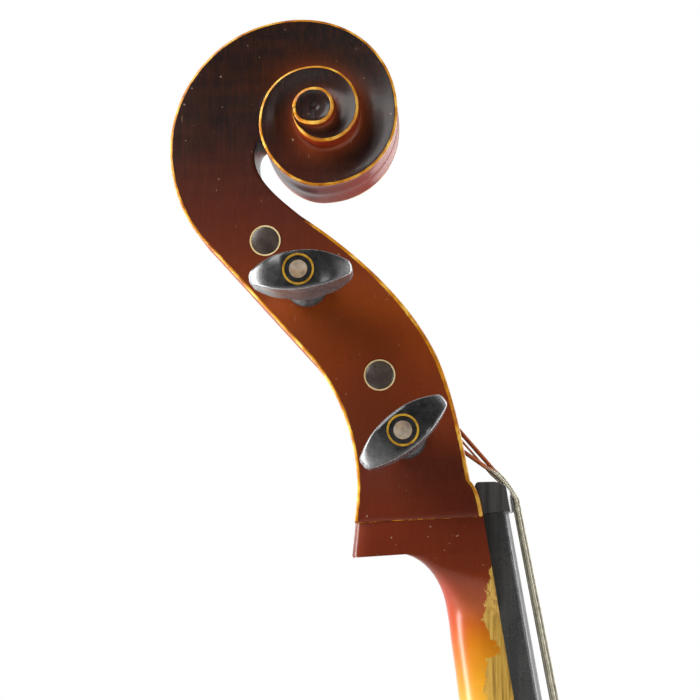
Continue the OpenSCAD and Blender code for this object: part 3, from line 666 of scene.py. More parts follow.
LEAVE = 200.0                  # direction from the eye where the scroll leaves the pegbox, in degrees
TURN = 120                     # steps in one turn
STEP = 360.0 / TURN
EYE_FROM = 738.0               # how far round the last groove runs out
EYE_TOP = 32.6                 # half width over the middle of the eye
GROOVE = 3.4                   # depth of the hollow in the scroll's sides
FLUTE = 2.2                    # depth of the two hollows along its back
CHAMFER, EYE_CHAMFER, FRONT_CHAMFER = 0.95, 1.1, 1.45 * 0.95
GOLD_TOP = 126.0               # the worn front edge of the pegbox fades out at this height over the nut
PEGBOX_RINGS = 92
WALL_SHARES = [0.12, 0.24, 0.36, 0.48, 0.6, 0.72, 0.84, 0.93]
SIDE_SHARES = [0.0, 0.015, 0.05, 0.12, 0.22, 0.34, 0.47, 0.6, 0.73, 0.885, 0.9, 0.94, 0.97, 1.0]
# degrees round the scroll, and half the width of its edge there
EDGE_HALF = ([0, 60, 110, 200, 290, 380, 470, 560, 650, 738, 830, 1010, 1098],
             [14.4, 14.2, 14.4, 16.2, 18.8, 21.4, 24.0, 26.6, 29.2, 31.6, 32.8, 32.8, 31.6])
# heights over the nut, and half the width of the pegbox's cavity there
CAVITY_HALF = ([10, 110, 140], [13.5, 9.0, 7.5])
HEAD_TONES = [(-4, (94, 34, 18)), (20, (88, 35, 20)), (50, (116, 47, 17)), (85, (132, 57, 13)),
              (108, (98, 39, 19)), (125, (78, 31, 20)), (150, (46, 24, 21)), (166, (24, 18, 17)),
              (192, (24, 19, 19)), (206, (20, 18, 18))]


def spiral_table():
    """Radius of the scroll's edge round its eye, against the degrees turned since it left the pegbox."""
    points = joined(HEAD_BACK[-12:], SCROLL_LINE) - [EYE_X, EYE_Z]
    angle = np.degrees(np.unwrap(np.arctan2(points[:, 1], points[:, 0])))
    x, z = SCROLL_LINE[0] - [EYE_X, EYE_Z]
    turned = angle - angle[11] + degrees(atan2(z, x)) % 360.0
    return LEAVE - turned, np.linalg.norm(points, axis=1)


SPIRAL_AT, SPIRAL_R = spiral_table()


def edge_r(t):
    return float(np.interp(t, SPIRAL_AT, SPIRAL_R))


def edge_half(t):
    return float(np.interp(t, *EDGE_HALF))


def round_eye(t, r, y):
    a = radians(LEAVE - t)
    return at_nut(EYE_X + r * cos(a), y, EYE_Z + r * sin(a))


def groove_height(t, r, share, width):
    """Half width of the hollowed side, at a share of the way from the edge to the next wall."""
    depth = min(GROOVE, 0.22 * width) * ease(t / 80.0)
    hollow = depth * sin(0.5 * pi * min(1.0, share / 0.86)) ** 1.3
    foot = 0.9 * max(0.0, (share - 0.9) / 0.1) ** 2 * ease(t / 60.0)
    flat = cheek(EYE_Z + r * sin(radians(LEAVE - t)))
    curved = edge_half(t) - (hollow - foot) * (1.0 if t < 700 else (EYE_FROM - t) / (EYE_FROM - 700))
    return flat + (curved - flat) * ease(t / 70.0)


def rounded(c, turns=(0, 30, 60, 90)):
    """How far the points of a rounded corner lie from its two faces."""
    return [(c * (1 - cos(radians(q))), c * (1 - sin(radians(q)))) for q in turns]


def one_side(pairs, s):
    return [p[s] for p in pairs]


class Skin:
    """Points in mirrored pairs, faces, and how worn, glowing or outward-facing each point is."""

    def __init__(self):
        self.points, self.faces, self.wear, self.glow, self.wall = [], [], [], [], []

    def add(self, p, wear=0.0, glow=0.0, wall=0.0):
        self.points.append(p)
        self.wear.append(wear)
        self.glow.append(glow)
        self.wall.append(wall)
        return len(self.points) - 1

    def pair(self, p, **marks):
        return self.add(p, **marks), self.add([p[0], -p[1], p[2]], **marks)

    def strip(self, a, b):
        """Faces between two rows of points."""
        for k in range(len(a) - 1):
            self.faces.append((a[k], a[k + 1], b[k + 1], b[k]))

    def band(self, a, b):
        """Faces between two closed rings of points."""
        self.strip(a + a[:1], b + b[:1])


def scroll_rows(skin):
    """Every row of points round the scroll: its edge, hollowed side and inner wall, on both sides."""
    last_groove = int(round(EYE_FROM / STEP))
    rows = []
    for k in range(last_groove + TURN + 1):
        t = k * STEP
        r, top = edge_r(t), groove_height(t, edge_r(t), 0.0, 1.0) if t < EYE_FROM else edge_half(t)
        inner = edge_r(t + 360.0)
        width = r - inner if k <= last_groove else 6.0
        c = min(CHAMFER if t < 640 else EYE_CHAMFER, 0.3 * width + 0.02)
        edge = [skin.pair(round_eye(t, r - a, top - b), wear=1.0, wall=float(a == 0)) for a, b in rounded(c)]
        row = {"edge": edge}
        if k <= last_groove:
            row["side"] = [edge[-1]]
            for share in SIDE_SHARES[1:]:
                rr = (r - c) + (inner - r + c) * share
                glow = max(0.0, share - 0.35) / 0.65 * ease(t / 90.0)
                point = round_eye(t, rr, groove_height(t, rr, share, width))
                row["side"].append(skin.pair(point, glow=glow))
        if k >= TURN:
            bottom = rows[k - TURN]["side"][-1]
            foot = skin.points[bottom[0]][1]
            row["inner"] = [bottom]
            for share in (0.43, 0.86):
                y = foot + (top - c - foot) * share
                row["inner"].append(skin.pair(round_eye(t, r, y), glow=0.9, wall=1.0))
            row["inner"].append(edge[0])
        rows.append(row)
    return rows, last_groove


def wall_line(skin, k, row):
    """The outer wall from one edge to the other. The last one meets the foot of the inner wall."""
    t, low = k * STEP, skin.points[row["edge"][0][0]][1]
    half = []
    for n, share in enumerate(WALL_SHARES):
        if k == TURN and share > 0.7:
            half.append(row["inner"][n - 5])
            continue
        hollow = FLUTE * ease((330.0 - t) / 70.0) * sin(pi * share) ** 1.4
        half.append(skin.pair(round_eye(t, edge_r(t) - hollow, share * low), wall=1.0))
    middle = skin.add(round_eye(t, edge_r(t), 0.0), wall=1.0)
    half.append(row["edge"][0])
    return one_side(half, 1)[::-1] + [middle] + one_side(half, 0)


def pegbox_ring(skin, back, front, reach, total):
    """One section of the pegbox, in order round it from the middle of its back."""
    bx, bz = back
    length = dist(back, front)
    dx, dz = (front[0] - bx) / length, (front[1] - bz) / length
    c, cf = CHAMFER, FRONT_CHAMFER * ease(reach / 14.0)
    gold = ease((GOLD_TOP - front[1]) / 10.0)

    def half_at(a):
        return cheek(bz + a * dz)

    def pair(a, y, **marks):
        return skin.pair(at_nut(bx + a * dx, y, bz + a * dz), **marks)

    low = half_at(0) - c
    pairs = [pair(FLUTE * sin(pi * s) ** 1.4, s * low, wall=1.0) for s in WALL_SHARES]
    middle = skin.add(at_nut(bx, 0.0, bz), wall=1.0)
    pairs += [pair(a, half_at(c) - b, wear=1.0, wall=float(a == 0)) for a, b in rounded(c)]
    for s in SIDE_SHARES[1:11]:
        a = c + (length - cf - c) * s / 0.9
        pairs.append(pair(a, half_at(a), wear=gold if s == 0.9 and cf > 0.3 else 0.0))
    for a, b in rounded(cf, (30, 60, 90)):
        pairs.append(pair(length - b, half_at(length) - a, wear=ease(cf / 0.8) * gold))
    w = float(np.interp(front[1], *CAVITY_HALF))
    depth = (length - 10.5) * ease((reach - 20.0) / 14.0) * ease((total - reach - 15.5) / 1.6)
    pairs += [pair(length, w + 0.7, wear=0.25), pair(length - min(0.7, depth), w),
              pair(length - 0.5 * depth, w), pair(length - max(0.0, depth - 2.5), w - 0.3),
              pair(length - depth, w - 2.6)]
    floor = skin.add(at_nut(bx + (length - depth) * dx, 0.0, bz + (length - depth) * dz))
    return [middle] + one_side(pairs, 1) + [floor] + one_side(pairs, 0)[::-1]


def joining_ring(row, back, front):
    """The points of the scroll where the pegbox joins it, in the order of a pegbox section."""
    centre = len(WALL_SHARES) + 1
    left, right = [back[centre + way::way] + one_side(row["edge"][1:] + row["side"][1:], s)
                   + [front[centre + way * n] for n in range(5, 0, -1)] for s, way in ((1, -1), (0, 1))]
    return [back[centre]] + left + [front[centre]] + right[::-1]


def close_eye(skin, rows, first, s):
    """The end of the last groove, and the round cap over the eye, on one side."""
    last = rows[-1]
    skin.faces.append(tuple(one_side(rows[first]["side"] + last["inner"][1:] + last["edge"][1:], s)))
    rim = [row["edge"][-1][s] for row in rows[first:]]
    for scale, drop in ((0.8, 0.5), (0.55, 0.9), (0.3, 1.05), (0.13, 1.15), (0.07, 1.6)):
        ring = []
        for k in range(first, len(rows)):
            half = edge_half(k * STEP)
            y = half + (EYE_TOP - half) * (1 - scale) - drop
            ring.append(skin.add(round_eye(k * STEP, scale * edge_r(k * STEP), y if s == 0 else -y)))
        skin.band(rim, ring)
        rim = ring
    skin.faces.append(tuple(rim))


def head_skin():
    """Scroll and pegbox as one closed skin."""
    skin = Skin()
    rows, last_groove = scroll_rows(skin)
    for row, after in zip(rows, rows[1:]):
        for s in (0, 1):
            for part in ("edge", "side", "inner"):
                if part in row and part in after:
                    skin.strip(one_side(row[part], s), one_side(after[part], s))
    lines = [wall_line(skin, k, rows[k]) for k in range(TURN + 1)]
    for a, b in zip(lines, lines[1:]):
        skin.strip(a, b)
    for s in (0, 1):
        close_eye(skin, rows, last_groove, s)
    backs = spaced(joined(HEAD_BACK, [SCROLL_LINE[0]]), 400)
    split = np.array(round_eye(0.0, edge_r(0.0), 0.0))[[0, 2]] - [NUT_X, NUT_Z]
    keep = int(np.argmin(np.linalg.norm(backs - split, axis=1)))
    backs = spaced(np.vstack([split, backs[:keep][::-1]]), PEGBOX_RINGS)
    fronts = spaced(HEAD_FRONT, PEGBOX_RINGS)
    total = float(run_along(fronts)[-1])
    ring = joining_ring(rows[0], lines[0], lines[TURN])
    for k in range(1, PEGBOX_RINGS):
        after = pegbox_ring(skin, backs[k], fronts[k], k / (PEGBOX_RINGS - 1.0) * total, total)
        skin.band(ring, after)
        ring = after
    base = [skin.points[i] for i in ring]
    for down, draw, wear in ((0.7, 0.25, 0.5), (1.3, 1.3, 0.75)):
        after = []
        for x, y, z in base:
            after.append(skin.add([x, y - copysign(min(abs(y), draw), y), z - down], wear=wear))
        skin.band(ring, after)
        ring = after
    skin.faces.append(tuple(ring))
    return skin


def head_tone(points, glow, wall):
    """Shading of the varnish: brown cheeks that darken into a nearly black scroll, red in its hollows."""
    p = np.array(points)
    x, z = p[:, 0] - NUT_X, p[:, 2] - NUT_Z
    right = np.clip((x + 75) / 35, 0, 1) * np.clip((z - 126) / 12, 0, 1)
    tone = toward(blend_color(z, HEAD_TONES), [27, 24, 24], right)
    tone = toward(tone, [158, 62, 18], 0.8 * np.clip(np.array(glow), 0, 1) ** 1.6)
    return to_linear(toward(tone, [136, 36, 12], wall))


def make_head(material):
    skin = head_skin()
    tone = head_tone(skin.points, skin.glow, skin.wall)
    head = new_object("scroll_and_pegbox", skin.points, skin.faces, 40.0, wear=skin.wear, tone=tone)
    show(head, CELLO, "maple", material, "neck")


# ---------------------------------------------------------------- neck, fingerboard and nut
NECK_BACKS = joined(
    [[-50.6, -1.0], [-51.0, -2.6], [-51.3, -6.0], [-51.8, -11.0], [-52.4, -16.4], [-52.1, -17.2]],
    curve((-52.1, -17.2), ((-46, -15.6), (-41, -15.2), (-36, -15.2), 5),
          ((-24, -15.2), (-16.5, -25), (-14.5, -38), 12)),
    [[-13.6, -43.5], [-12.9, -50.0], [-11.0, -63.8], [-9.9, -73.3]])
NECK_TURNS = np.radians([0, 4, 10, 18, 27, 36, 42, 48, 54, 63, 72, 80, 86, 90])
NECK_TONES = [(-400, (160, 92, 30)), (-260, (184, 124, 40)), (-75, (200, 148, 44)), (-55, (186, 120, 6)),
              (-42, (158, 74, 10)), (-30, (126, 50, 16)), (-20, (100, 36, 16)), (0, (96, 34, 17))]
CHIN = [0.9, 2.2, 5.0, 9.0, 12.6, 13.6, 14.6, 15.7, 16.9, 18.1, 19.4]     # fronts of the root, under the nut
ROOT_HALF = 22.4


def seat_x(z):
    """Where the fingerboard sits on the neck, at a height."""
    return SEAT_X - (z - TOP_Z) * tan(NECK_ANGLE)


def neck_sections():
    """Front and back point of each section, from the nut's level to the heel, as (x, z)."""
    top = NECK_BACKS + [NUT_X, NUT_Z]
    heel, mid = on_neck(-24.0, 0, -215.0)[::2], on_neck(-22.4, 0, -140.0)[::2]
    down = curve(top[-1], (top[-1] + [10.5, -45], (mid[0] - 5.5, mid[1] + 34), mid, 8),
                 ((mid[0] + 5.3, mid[1] - 33), (heel[0] - 1.5, heel[1] + 10), heel, 5),
                 ((50, TOP_Z + 34), (22, TOP_Z + 28), (-20, TOP_Z + 25), 12),
                 ((-38, TOP_Z + 24.5), (-52, TOP_Z + 24.2), (-RIB_X, TOP_Z + 22), 5))
    backs = joined(top, down, [[-RIB_X, TOP_Z + 8], [-RIB_X, TOP_Z + 0.5]])
    front_z = backs[:, 1].copy()
    start, stop = len(CHIN), len(top) - 4
    front_z[:start] = NUT_Z - np.array(CHIN)
    last = front_z[start - 1]
    for k in range(start, stop):
        front_z[k] = last + (backs[stop][1] + 1.0 - last) * (k - start + 1) / (stop - start + 1.0)
    under_board = [k for k in range(len(top) + 1, len(backs)) if backs[k][1] < TOP_Z + 60]
    for n, k in enumerate(under_board):
        front_z[k] = TOP_Z + 56 - 55.5 * (n + 1) / len(under_board)
    return np.stack([seat_x(front_z), front_z], 1), backs, stop


def neck_ring(f, b, root, draw):
    """A section of the neck, flat in front, and round behind or square at the root, and its wear."""
    length = np.linalg.norm(b - f)
    lean = (b - f) / length
    power = 2.25 + 9.0 * root + 1.2 * ease((TOP_Z + 60 - f[1]) / 40.0)
    board_half = NUT_HALF + max(0.0, (NUT_Z - f[1])) * 0.0195
    half = board_half * (1 - root) + ROOT_HALF * root - draw
    ring, wear = [], []
    for s, turns in ((1, NECK_TURNS), (-1, NECK_TURNS[-2::-1])):
        for a in turns:
            deep = sin(a) ** (2.0 / power)
            wide = cos(a) ** (2.0 / power) if a < NECK_TURNS[-1] else 0.0
            x, z = f + lean * (length * deep)
            ring.append([x, s * half * wide, z])
            corner = ease((deep - 0.9) / 0.03) * ease((wide - 0.93) / 0.03)
            wear.append(0.7 * ease((root - 0.9) / 0.1) * corner)
    return ring, wear


def make_neck(material):
    """Root, handle and heel of the neck."""
    fronts, backs, root_end = neck_sections()
    rings, wear = [], []
    for k, (f, b) in enumerate(zip(fronts, backs)):
        ring, marks = neck_ring(f, b, ease((root_end - k) / 9.0), 0.55 if k == 0 else 0.3)
        rings.append(ring)
        wear += marks
    x, _, z = np.vstack(rings).T
    behind = (seat_x(z) - x) / np.repeat(np.linalg.norm(fronts - backs, axis=1), len(rings[0]))
    up = z - NUT_Z
    red = np.clip((behind - 0.55) / 0.4, 0, 1) * np.clip((-up - 22) / 8, 0, 1)
    red *= np.clip((up + 80) / 45, 0, 1)
    tone = toward(blend_color(up, NECK_TONES), [176, 40, 14], 0.6 * red)
    tone = toward(tone, [104, 40, 18], np.clip((TOP_Z + 70 - z) / 50.0, 0, 1))
    bare = np.clip((z - TOP_Z - 60) / 25.0, 0, 1)
    neck = lofted("neck_handle", rings, angle=40.0, wear=wear, tone=to_linear(tone), bare=bare)
    show(neck, CELLO, "maple", material, "neck")


def make_fingerboard(material):
    """A long board with an arched top, thin bevels and a hollow under its free end."""
    rings, wear = [], []
    steps = [0.0, -0.5] + list(np.linspace(-20, -285, 14)) + [-293, -296] + list(np.linspace(-310, -575, 14))
    for u in steps + [1.5 - BOARD_LEN, -BOARD_LEN]:
        share = -u / BOARD_LEN
        half = NUT_HALF + (BOARD_END_HALF - NUT_HALF) * share - (0.4 if share in (0, 1) else 0.0)
        side = BOARD_SIDE - 0.3 * share
        hollow = 4.6 * share * ease((-u - 292.0) / 6.0)
        bevel = [(0.02, 0.0), (side - 0.9, 0.0), (side - 0.3, 0.12), (side, 0.5)]
        ring = [on_neck(n, inset - half, u) for n, inset in bevel]
        for y in np.linspace(-half + 1.2, half - 1.2, 27):
            ring.append(on_neck(side + sag(half, BOARD_R) - sag(y, BOARD_R), y, u))
        ring += [on_neck(n, half - inset, u) for n, inset in bevel[::-1]]
        for y in np.linspace(half - 3.0, -half + 3.0, 9):
            ring.append(on_neck(0.02 + hollow * (1 - (y / half) ** 2), y, u))
        rings.append(ring)
        wear += [0.1, 0.25, 1.0, 1.0] + [0.0] * 27 + [1.0, 1.0, 0.25, 0.1] + [0.0] * 9
    board = lofted("fingerboard_top", rings, angle=50.0, wear=wear)
    show(board, CELLO, "ebony", material, "fingerboard")


def make_nut(material):
    """Rounded in front, crowned across, with a groove for each string."""
    face = joined([[0.05, 0.05], [-2.6, 10.6], [-2.9, 11.8], [-2.3, 12.8], [-1.4, 13.1]],
                  bezier([[5.0, 13.2], [10.2, 12.6], [14.1, 7.4], [14.4, 2.4]], 14),
                  [[14.2, 1.6], [13.4, 1.3], [9.5, 1.2]])
    c, s = cos(NECK_ANGLE), sin(NECK_ANGLE)
    middle = face.mean(axis=0)
    rings = []
    for y in np.concatenate([[-16.4, -16.25, -15.9], np.linspace(-15.2, 15.2, 96), [15.9, 16.25, 16.4]]):
        shrink = 1.0 - 0.05 * ease((abs(y) - 15.7) / 0.7)
        cap = NUT_CROWN - 0.9 - sag(y, NUT_R)
        for k, key in enumerate(STRINGS):
            off = abs(y - (k - 1.5) * NUT_SPACING)
            cap -= 0.45 * max(0.0, 1.0 - (off / (STRING_R[key] + 0.15)) ** 2)
        ring = []
        for x, z in middle + (face - middle) * shrink:
            n, u = x * c + z * s, -x * s + z * c
            ring.append(on_neck(min(n, cap) - 0.02 * (n > cap), y, u))
        rings.append(ring)
    show(lofted("nut_block", rings, angle=45.0), CELLO, "ebony", material, "nut")


# ---------------------------------------------------------------- pegs
def peg_place(key, w, h, a):
    """A point of a peg: w along the wide way of its head, h across it, a along its axis."""
    side = PEG_SIDE[key]
    c, s = cos(radians(PEG_TURN[key])), sin(radians(PEG_TURN[key]))
    x, z = PEG_AXIS[key]
    return at_nut(x + (w * c - h * side * s), side * a, z + (w * s + h * side * c))


def peg_shank(key):
    """Shank and collar, turned about the peg's axis."""
    face = cheek(PEG_AXIS[key][1])
    line = joined([[0.01, -face - 0.8], [PEG_END_R - 0.7, -face - 0.8], [PEG_END_R - 0.2, -face - 0.6],
                   [PEG_END_R, -face - 0.1], [PEG_END_R, 9 - face], [PEG_R - 0.05, face - 9],
                   [PEG_R - 0.05, face + 1.3], [7.3, face + 1.4]],
                  bezier([[7.6, face + 1.6], [9.0, face + 2.6], [9.2, face + 5.4], [7.4, face + 7.2]], 10),
                  bezier([[7.4, face + 7.2], [6.4, face + 8.0], [5.9, face + 9.0], [5.7, face + 12]], 8),
                  [[5.5, face + 20], [0.01, face + 20.5]])
    return [[peg_place(key, r * cos(q), r * sin(q), a) for q in around(64)] for r, a in line]


def head_profile(w, face):
    """Half of a section across a peg's head, crown to foot: distance out, place along the axis and wear."""
    s = abs(w) / PEG_HEAD_HALF
    top = face + PEG_REACH - 9.2 * max(0.0, (abs(w) - 5.5) / 14.5) ** 1.75
    thick = 2.2 + 5.4 * (1 - s ** 2.1)
    bottom = face + 11.0 + 3.0 * ease(abs(w) / 9.0) - 2.2 * sin(pi * min(1, s)) + 11.0 * s ** 5
    bottom = min(bottom, top - 5.0)
    profile = [(thick * q, top - 0.5 * q ** 4, 0.0) for q in (0.0, 0.3, 0.6, 0.82, 0.93)]
    profile += [(thick * 0.985, top - 0.8, 1.0), (thick, top - 1.5, 1.0)]
    hollow = 0.74 + 0.1 * ease((7.0 - abs(w)) / 7.0)
    for q in (0.12, 0.22, 0.34, 0.48, 0.62, 0.74, 0.85, 0.93):
        dish = 1.0 - (1.0 - hollow) * sin(pi * min(1.0, q * 0.95)) ** 0.8
        profile.append((thick * dish, top - q * (top - bottom), 0.42))
    profile.append((thick * 0.6, bottom + 0.02 * (top - bottom), 0.9))
    profile += [(thick * 0.3, bottom, 0.9), (0.0, bottom, 0.6)]
    end = 1.0 - 0.35 * ease((s - 0.965) / 0.035)
    middle = (top + bottom) / 2
    return [(h * end, middle + (a - middle) * (0.6 + 0.4 * end), k) for h, a, k in profile]


def peg_head(key):
    """The thumb piece: an oval crown over two hollowed flanks that meet the collar."""
    rings, wear = [], []
    for w in np.concatenate([[-20.0, -19.8, -19.4], np.linspace(-18.8, 18.8, 49), [19.4, 19.8, 20.0]]):
        line = head_profile(w, cheek(PEG_AXIS[key][1]))
        whole = line + [(-h, a, k) for h, a, k in line[-2:0:-1]]
        rings.append([peg_place(key, w, h, a) for h, a, _ in whole])
        ends = 0.8 * ease((abs(w) / PEG_HEAD_HALF - 0.86) / 0.1)
        wear += [min(1.0, max(k * 0.9, ends)) for _, _, k in whole]
    return rings, wear


def make_pegs(material, ring_metal, eye, winding):
    for key in STRINGS:
        shank = peg_shank(key)
        head, head_wear = peg_head(key)
        cols = len(shank[0])
        start = len(shank) * cols
        faces = ring_faces(len(shank), cols) + ring_faces(len(head), len(head[0]), start)
        wear = [0.12] * start + head_wear
        cut = np.arange(len(wear)) < 3 * cols
        peg = new_object("peg_" + key + "_turned", np.vstack(shank + head), faces, 42.0, wear=wear, cut=cut)
        show(peg, "peg_%s_body" % key, "ebony", material, "peg_" + key)
        repaint("peg_ring_" + key, ring_metal)
        repaint("peg_eye_" + key, eye)
        repaint("winding_" + key, winding)


# ---------------------------------------------------------------- strings
def string_line(k):
    """The string's way from its peg over the nut and bridge to its tuner."""
    key = STRINGS[k]
    r, axis = STRING_R[key], np.array(PEG_AXIS[key])
    y, yb = (k - 1.5) * NUT_SPACING, (k - 1.5) * BRIDGE_SPACING
    drop = sag(y, NUT_R)
    bend = np.array([5.2 - 0.35 * drop, 18.6 - drop])
    reach = WINDING_R + 3 * r + 0.3
    aim = bend - axis
    angle = atan2(aim[1], aim[0]) + acos(reach / np.linalg.norm(aim))
    start = axis + reach * np.array([cos(angle), sin(angle)])
    first = np.array(at_nut(start[0], PEG_SIDE[key] * WINDING_Y[key], start[1]))
    corner = smoothed([at_nut(bend[0], y, bend[1]), at_nut(9.8 - 0.6 * drop, y, 14.4 - 0.8 * drop),
                       on_neck(NUT_CROWN - drop, y, 4.0)])
    bridge = np.array([BRIDGE_TOP_X - sag(yb, BRIDGE_R) + r, yb, BRIDGE_Z])
    hook = np.array(on_tail(15.0, (k - 1.5) * TUNER_SPACING, 219.4))

    def between(a, b, *shares):
        return [a + (b - a) * share for share in shares]

    return np.vstack([[first], between(first, corner[0], 0.5, 0.9), corner,
                      between(corner[-1], bridge, 0.02, 0.3, 0.7, 0.99),
                      between(bridge, hook, 0.0, 0.03, 0.5, 1.0)])


def make_strings(material):
    for k, key in enumerate(STRINGS):
        string = tube("string_" + key + "_wound", string_line(k), STRING_R[key])
        show(string, CELLO, "string_wire", material, "string_" + key)


# ---------------------------------------------------------------- body
LOWER_BOUT = [[45, 0], [152, 2], [220, 66], [220, 158]]
LOWER_FLANK = [[220, 158], [220, 215], [148, 262], [188, 305]]
WAIST_LOW = [[182, 312], [140, 314], [114, 345], [114, 400]]
WAIST_HIGH = [[114, 400], [114, 445], [122, 484], [148, 487]]
UPPER_FLANK = [[153, 496], [135, 520], [171, 545], [171, 607]]
UPPER_BOUT = [[171, 607], [171, 690], [118, 752], [36, 755]]
OUTLINE = joined(bezier(LOWER_BOUT, 36), bezier(LOWER_FLANK, 26), bezier(WAIST_LOW, 18),
                 bezier(WAIST_HIGH, 18), bezier(UPPER_FLANK, 18), bezier(UPPER_BOUT, 36))
ARCH_LINE = joined(bezier(LOWER_BOUT, 20), bezier([[220, 158], [220, 250], [114, 290], [114, 400]], 20),
                   bezier([[114, 400], [114, 480], [171, 520], [171, 607]], 20), bezier(UPPER_BOUT, 20))
OVERHANG, RIB_T = 3.0, 1.6
CORD_R, CORD_LOOP_R = 1.5, 15.0
BELLY_TONES = (180, 86, 26), (62, 22, 12)      # middle and edge
BACK_TONES = (250, 170, 90), (96, 40, 24)
RIB_TONES = (212, 130, 66), (120, 52, 28)


def arch_height(y, z, rise):
    """Height of a plate over its rib plane, z up from the bottom of the body."""
    half = float(np.interp(z, ARCH_LINE[:, 1], ARCH_LINE[:, 0])) - MARGIN
    along = max(0.0, 1 - abs(2 * (z - MARGIN) / (BODY_LEN - 2 * MARGIN) - 1) ** 2.5)
    share = cos(pi / 2 * min(1.0, abs(y) / max(half, 1.0))) ** 1.3
    return EDGE_T + (rise - EDGE_T) * along * share


def plate_skin(rise, side):
    """A carved plate, arched, round-edged and hollow inside. side is 1 for the belly, -1 for the back."""
    shares = np.concatenate([[0.0], np.linspace(0.04, 0.94, 32), [0.965, 0.98, 0.99, 0.996, 1.0]])
    rows, cols = len(OUTLINE), len(shares) * 2 - 1
    outer, inner, wear = [], [], []
    for k, (half, z) in enumerate(OUTLINE):
        for s in np.concatenate([-shares[:0:-1], shares]):
            y = half * s
            gap = min(half * (1 - abs(s)), 6.0) if k not in (0, rows - 1) else 0.0
            gap = min(gap, (BODY_LEN - z) * 0.9, z * 0.9)
            drop = 1.9 * (1 - sqrt(max(0.0, 1 - (1 - min(1.0, gap / 2.0)) ** 2)))
            lip = 0.5 * exp(-((gap - 3.2) / 1.6) ** 2)
            h = arch_height(y, z, rise)
            outer.append([side * (RIB_X + h - drop + lip * 0.4), y, BOTTOM_Z + z])
            deep = max(0.0, h - EDGE_T) * 0.94
            inner.append([side * (RIB_X + (deep if gap > 5 else 0.0)), y, BOTTOM_Z + z])
            wear.append(1.0 - min(1.0, max(0.0, gap - 0.5) / 1.6))
    n = rows * cols

    def wall(a, b):
        return a, b, n + b, n + a

    faces = grid_faces(rows, cols) + grid_faces(rows, cols, n)
    faces += [wall(r * cols + c, (r + 1) * cols + c) for r in range(rows - 1) for c in (0, cols - 1)]
    faces += [wall(r * cols + c, r * cols + c + 1) for c in range(cols - 1) for r in (0, rows - 1)]
    return np.array(outer + inner), faces, wear + [0.0] * n


def burst_tone(points, middle, edge):
    """Varnish that darkens from the middle of a plate to its edges."""
    z = points[:, 2] - BOTTOM_Z
    half = np.interp(z, ARCH_LINE[:, 1], ARCH_LINE[:, 0])
    away = np.maximum(np.abs(points[:, 1]) / half, np.abs(2 * z / BODY_LEN - 1) ** 1.6)
    return to_linear(toward(np.array(middle), edge, np.clip((away - 0.42) / 0.55, 0, 1) ** 1.3))


def sound_hole_cutters(side):
    """An f-shaped bar through the belly: a stem between two round eyes."""
    stem = joined(bezier([[47, 409], [46, 427], [62, 430], [65, 407]], 12),
                  bezier([[65, 407], [69, 378], [67, 336], [71, 305]], 18),
                  bezier([[71, 305], [75, 283], [92, 284], [91, 303]], 12))
    run = np.linspace(0, 1, len(stem))
    out = across(stem) * np.interp(run, [0, 0.25, 0.5, 0.75, 1], [2.2, 1.7, 4.4, 1.7, 2.2])[:, None]
    outline = np.vstack([stem + out, (stem - out)[::-1]])
    shapes = {"stem": outline, "eye_up": disc(48.5, 408, 7.5), "eye_low": disc(89, 304, 9.5)}
    ends = (RIB_X - 6.0, RIB_X + 40.0)
    return [lofted(name, [[[x, side * y, BOTTOM_Z + z] for y, z in shape] for x in ends])
            for name, shape in shapes.items()]


def button_ring(level, grow):
    """One level of the half-round button of the back, under the heel of the neck."""
    ring = []
    for q in around(72):
        z = TOP_Z - 1.5 + (25.2 + grow) * max(0.0, sin(q)) - 3.0 * (sin(q) < 0)
        ring.append([-RIB_X - level, (25.5 + grow) * cos(q), z])
    return ring


def make_plates(spruce, maple):
    points, faces, wear = plate_skin(BELLY_ARCH, 1)
    belly = new_object("belly", points, faces, 45.0, wear=wear, tone=burst_tone(points, *BELLY_TONES))
    cut_out(belly, sound_hole_cutters(-1) + sound_hole_cutters(1), 45.0)
    points = np.array([v.co for v in belly.data.vertices]) / MM
    set_mark(belly.data, "tone", burst_tone(points, *BELLY_TONES))
    show(belly, CELLO, "belly_spruce", spruce, "top_plate")
    points, faces, wear = plate_skin(BACK_ARCH, -1)
    back = new_object("back", points, faces, 45.0, wear=wear, tone=burst_tone(points, *BACK_TONES))
    show(back, CELLO, "maple", maple, "back_plate")
    button = [button_ring(*at) for at in ((4.45, -0.5), (4.1, 0.0), (0.4, 0.0), (0.05, -0.5))]
    count = len(button) * len(button[0])
    tone = np.tile(to_linear([150, 80, 45]), (count, 1))
    show(lofted("back_button", button, wear=np.zeros(count), tone=tone), CELLO, "maple", maple, "back_plate")


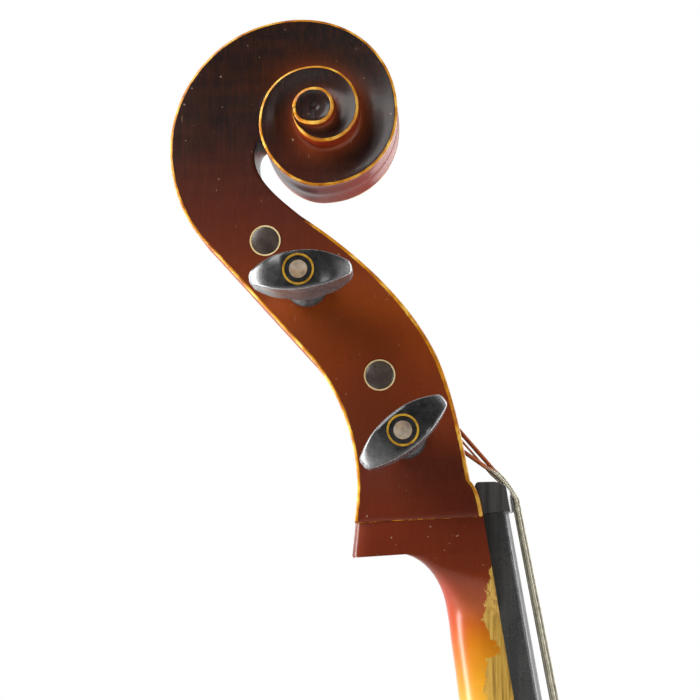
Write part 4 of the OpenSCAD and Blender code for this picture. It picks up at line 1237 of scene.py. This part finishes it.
def make_ribs(maple):
    """The sides: a thin wall that follows the outline inside its overhang."""
    parts = {"lower": (joined(bezier(LOWER_BOUT, 60), bezier(LOWER_FLANK, 40)), "lower_rib"),
             "waist": (joined(bezier(WAIST_LOW, 36), bezier(WAIST_HIGH, 36)), "center_rib"),
             "upper": (joined(bezier(UPPER_FLANK, 36), bezier(UPPER_BOUT, 60)), "upper_rib")}
    heights = np.linspace(0.05 - RIB_X, RIB_X - 0.05, 7)
    for name, (line, node) in parts.items():
        face, back = line + across(line) * OVERHANG, line + across(line) * (OVERHANG + RIB_T)
        for side, end in ((-1, "bass"), (1, "treble")):
            rings = []
            for f, b in zip(face, back):
                ring = [[x, side * f[0], BOTTOM_Z + f[1]] for x in heights]
                rings.append(ring + [[x, side * b[0], BOTTOM_Z + b[1]] for x in heights[::-1]])
            x = np.vstack(rings)[:, 0] / RIB_X
            tone = to_linear(toward(np.array(RIB_TONES[0]), RIB_TONES[1], np.abs(x) ** 3))
            rib = lofted("side_%s_%s" % (name, end), rings, wear=np.zeros(len(x)), tone=tone)
            show(rib, CELLO, "maple", maple, "%s_%s" % (node, end))


def make_tail_cord(material):
    half = [on_tail(3, 7, 26), on_tail(3, 7, 2), [RIB_X + 16.6, 9, BOTTOM_Z + 4],
            [RIB_X + 15, 10, BOTTOM_Z - 3.4], [RIB_X, 13.5, BOTTOM_Z - 5]]
    turns = np.linspace(pi / 2, 1.5 * pi, 17)
    arc = [[CORD_LOOP_R * cos(a), CORD_LOOP_R * sin(a), BOTTOM_Z - 4.4] for a in turns]
    line = half + arc + [[p[0], -p[1], p[2]] for p in reversed(half)]
    show(tube("tailpiece_cord", smoothed(line, 1), CORD_R), CELLO, "cord", material, "tail_gut")


def paint_fittings():
    """The finished materials of the CAD nodes that are shown as they are."""
    finishes = [
        (pale_wood("inner_wood", (176, 132, 84), (206, 164, 112), 0.7),
         ["neck_block", "end_block", "upper_corner_blocks", "lower_corner_blocks", "top_linings",
          "back_linings", "bass_bar", "sound_post"]),
        (purfling_wood(), ["top_purfling", "back_purfling"]),
        (pale_wood("boxwood", (206, 180, 122), (232, 212, 164), 0.5), ["peg_bushings"]),
        (pale_wood("bridge_maple", (196, 150, 96), (224, 184, 130), 0.45, 0.7), ["bridge"]),
        (ebony("fitting_ebony", (14, 14, 15), (40, 39, 38), 0.3), ["saddle", "tailpiece", "endpin_collar"]),
        (metal("dark_metal", (64, 64, 68), 0.3), ["tuner_lever_" + key for key in STRINGS]),
        (metal("bright_metal", (196, 196, 200), 0.22),
         ["tuner_screw_" + key for key in STRINGS]
         + ["tuner_axle", "endpin_sleeve", "endpin_rod", "endpin_screw"]),
        (rubber(), ["endpin_tip"])]
    for material, nodes in finishes:
        for node in nodes:
            repaint(node, material)


# ---------------------------------------------------------------- the whole cello
make_camera()
make_studio()
make_floor()
flamed = flamed_maple()
make_head(varnished_maple())
make_neck(bare_neck())
make_fingerboard(ebony("fingerboard_ebony", (33, 33, 32), (55, 54, 52), 0.3, worn=0.3))
make_nut(ebony("nut_ebony", (52, 52, 53), (82, 81, 80), 0.22))
make_pegs(ebony("peg_ebony", (20, 20, 21), (44, 44, 45), 0.24, grain=(420, 420, 420), worn=0.8, coat=0.3),
          brass_ring(), mother_of_pearl(), silk_winding())
make_strings(wound_string())
make_plates(varnished_spruce(), flamed)
make_ribs(flamed)
make_tail_cord(tail_cord())
paint_fittings()
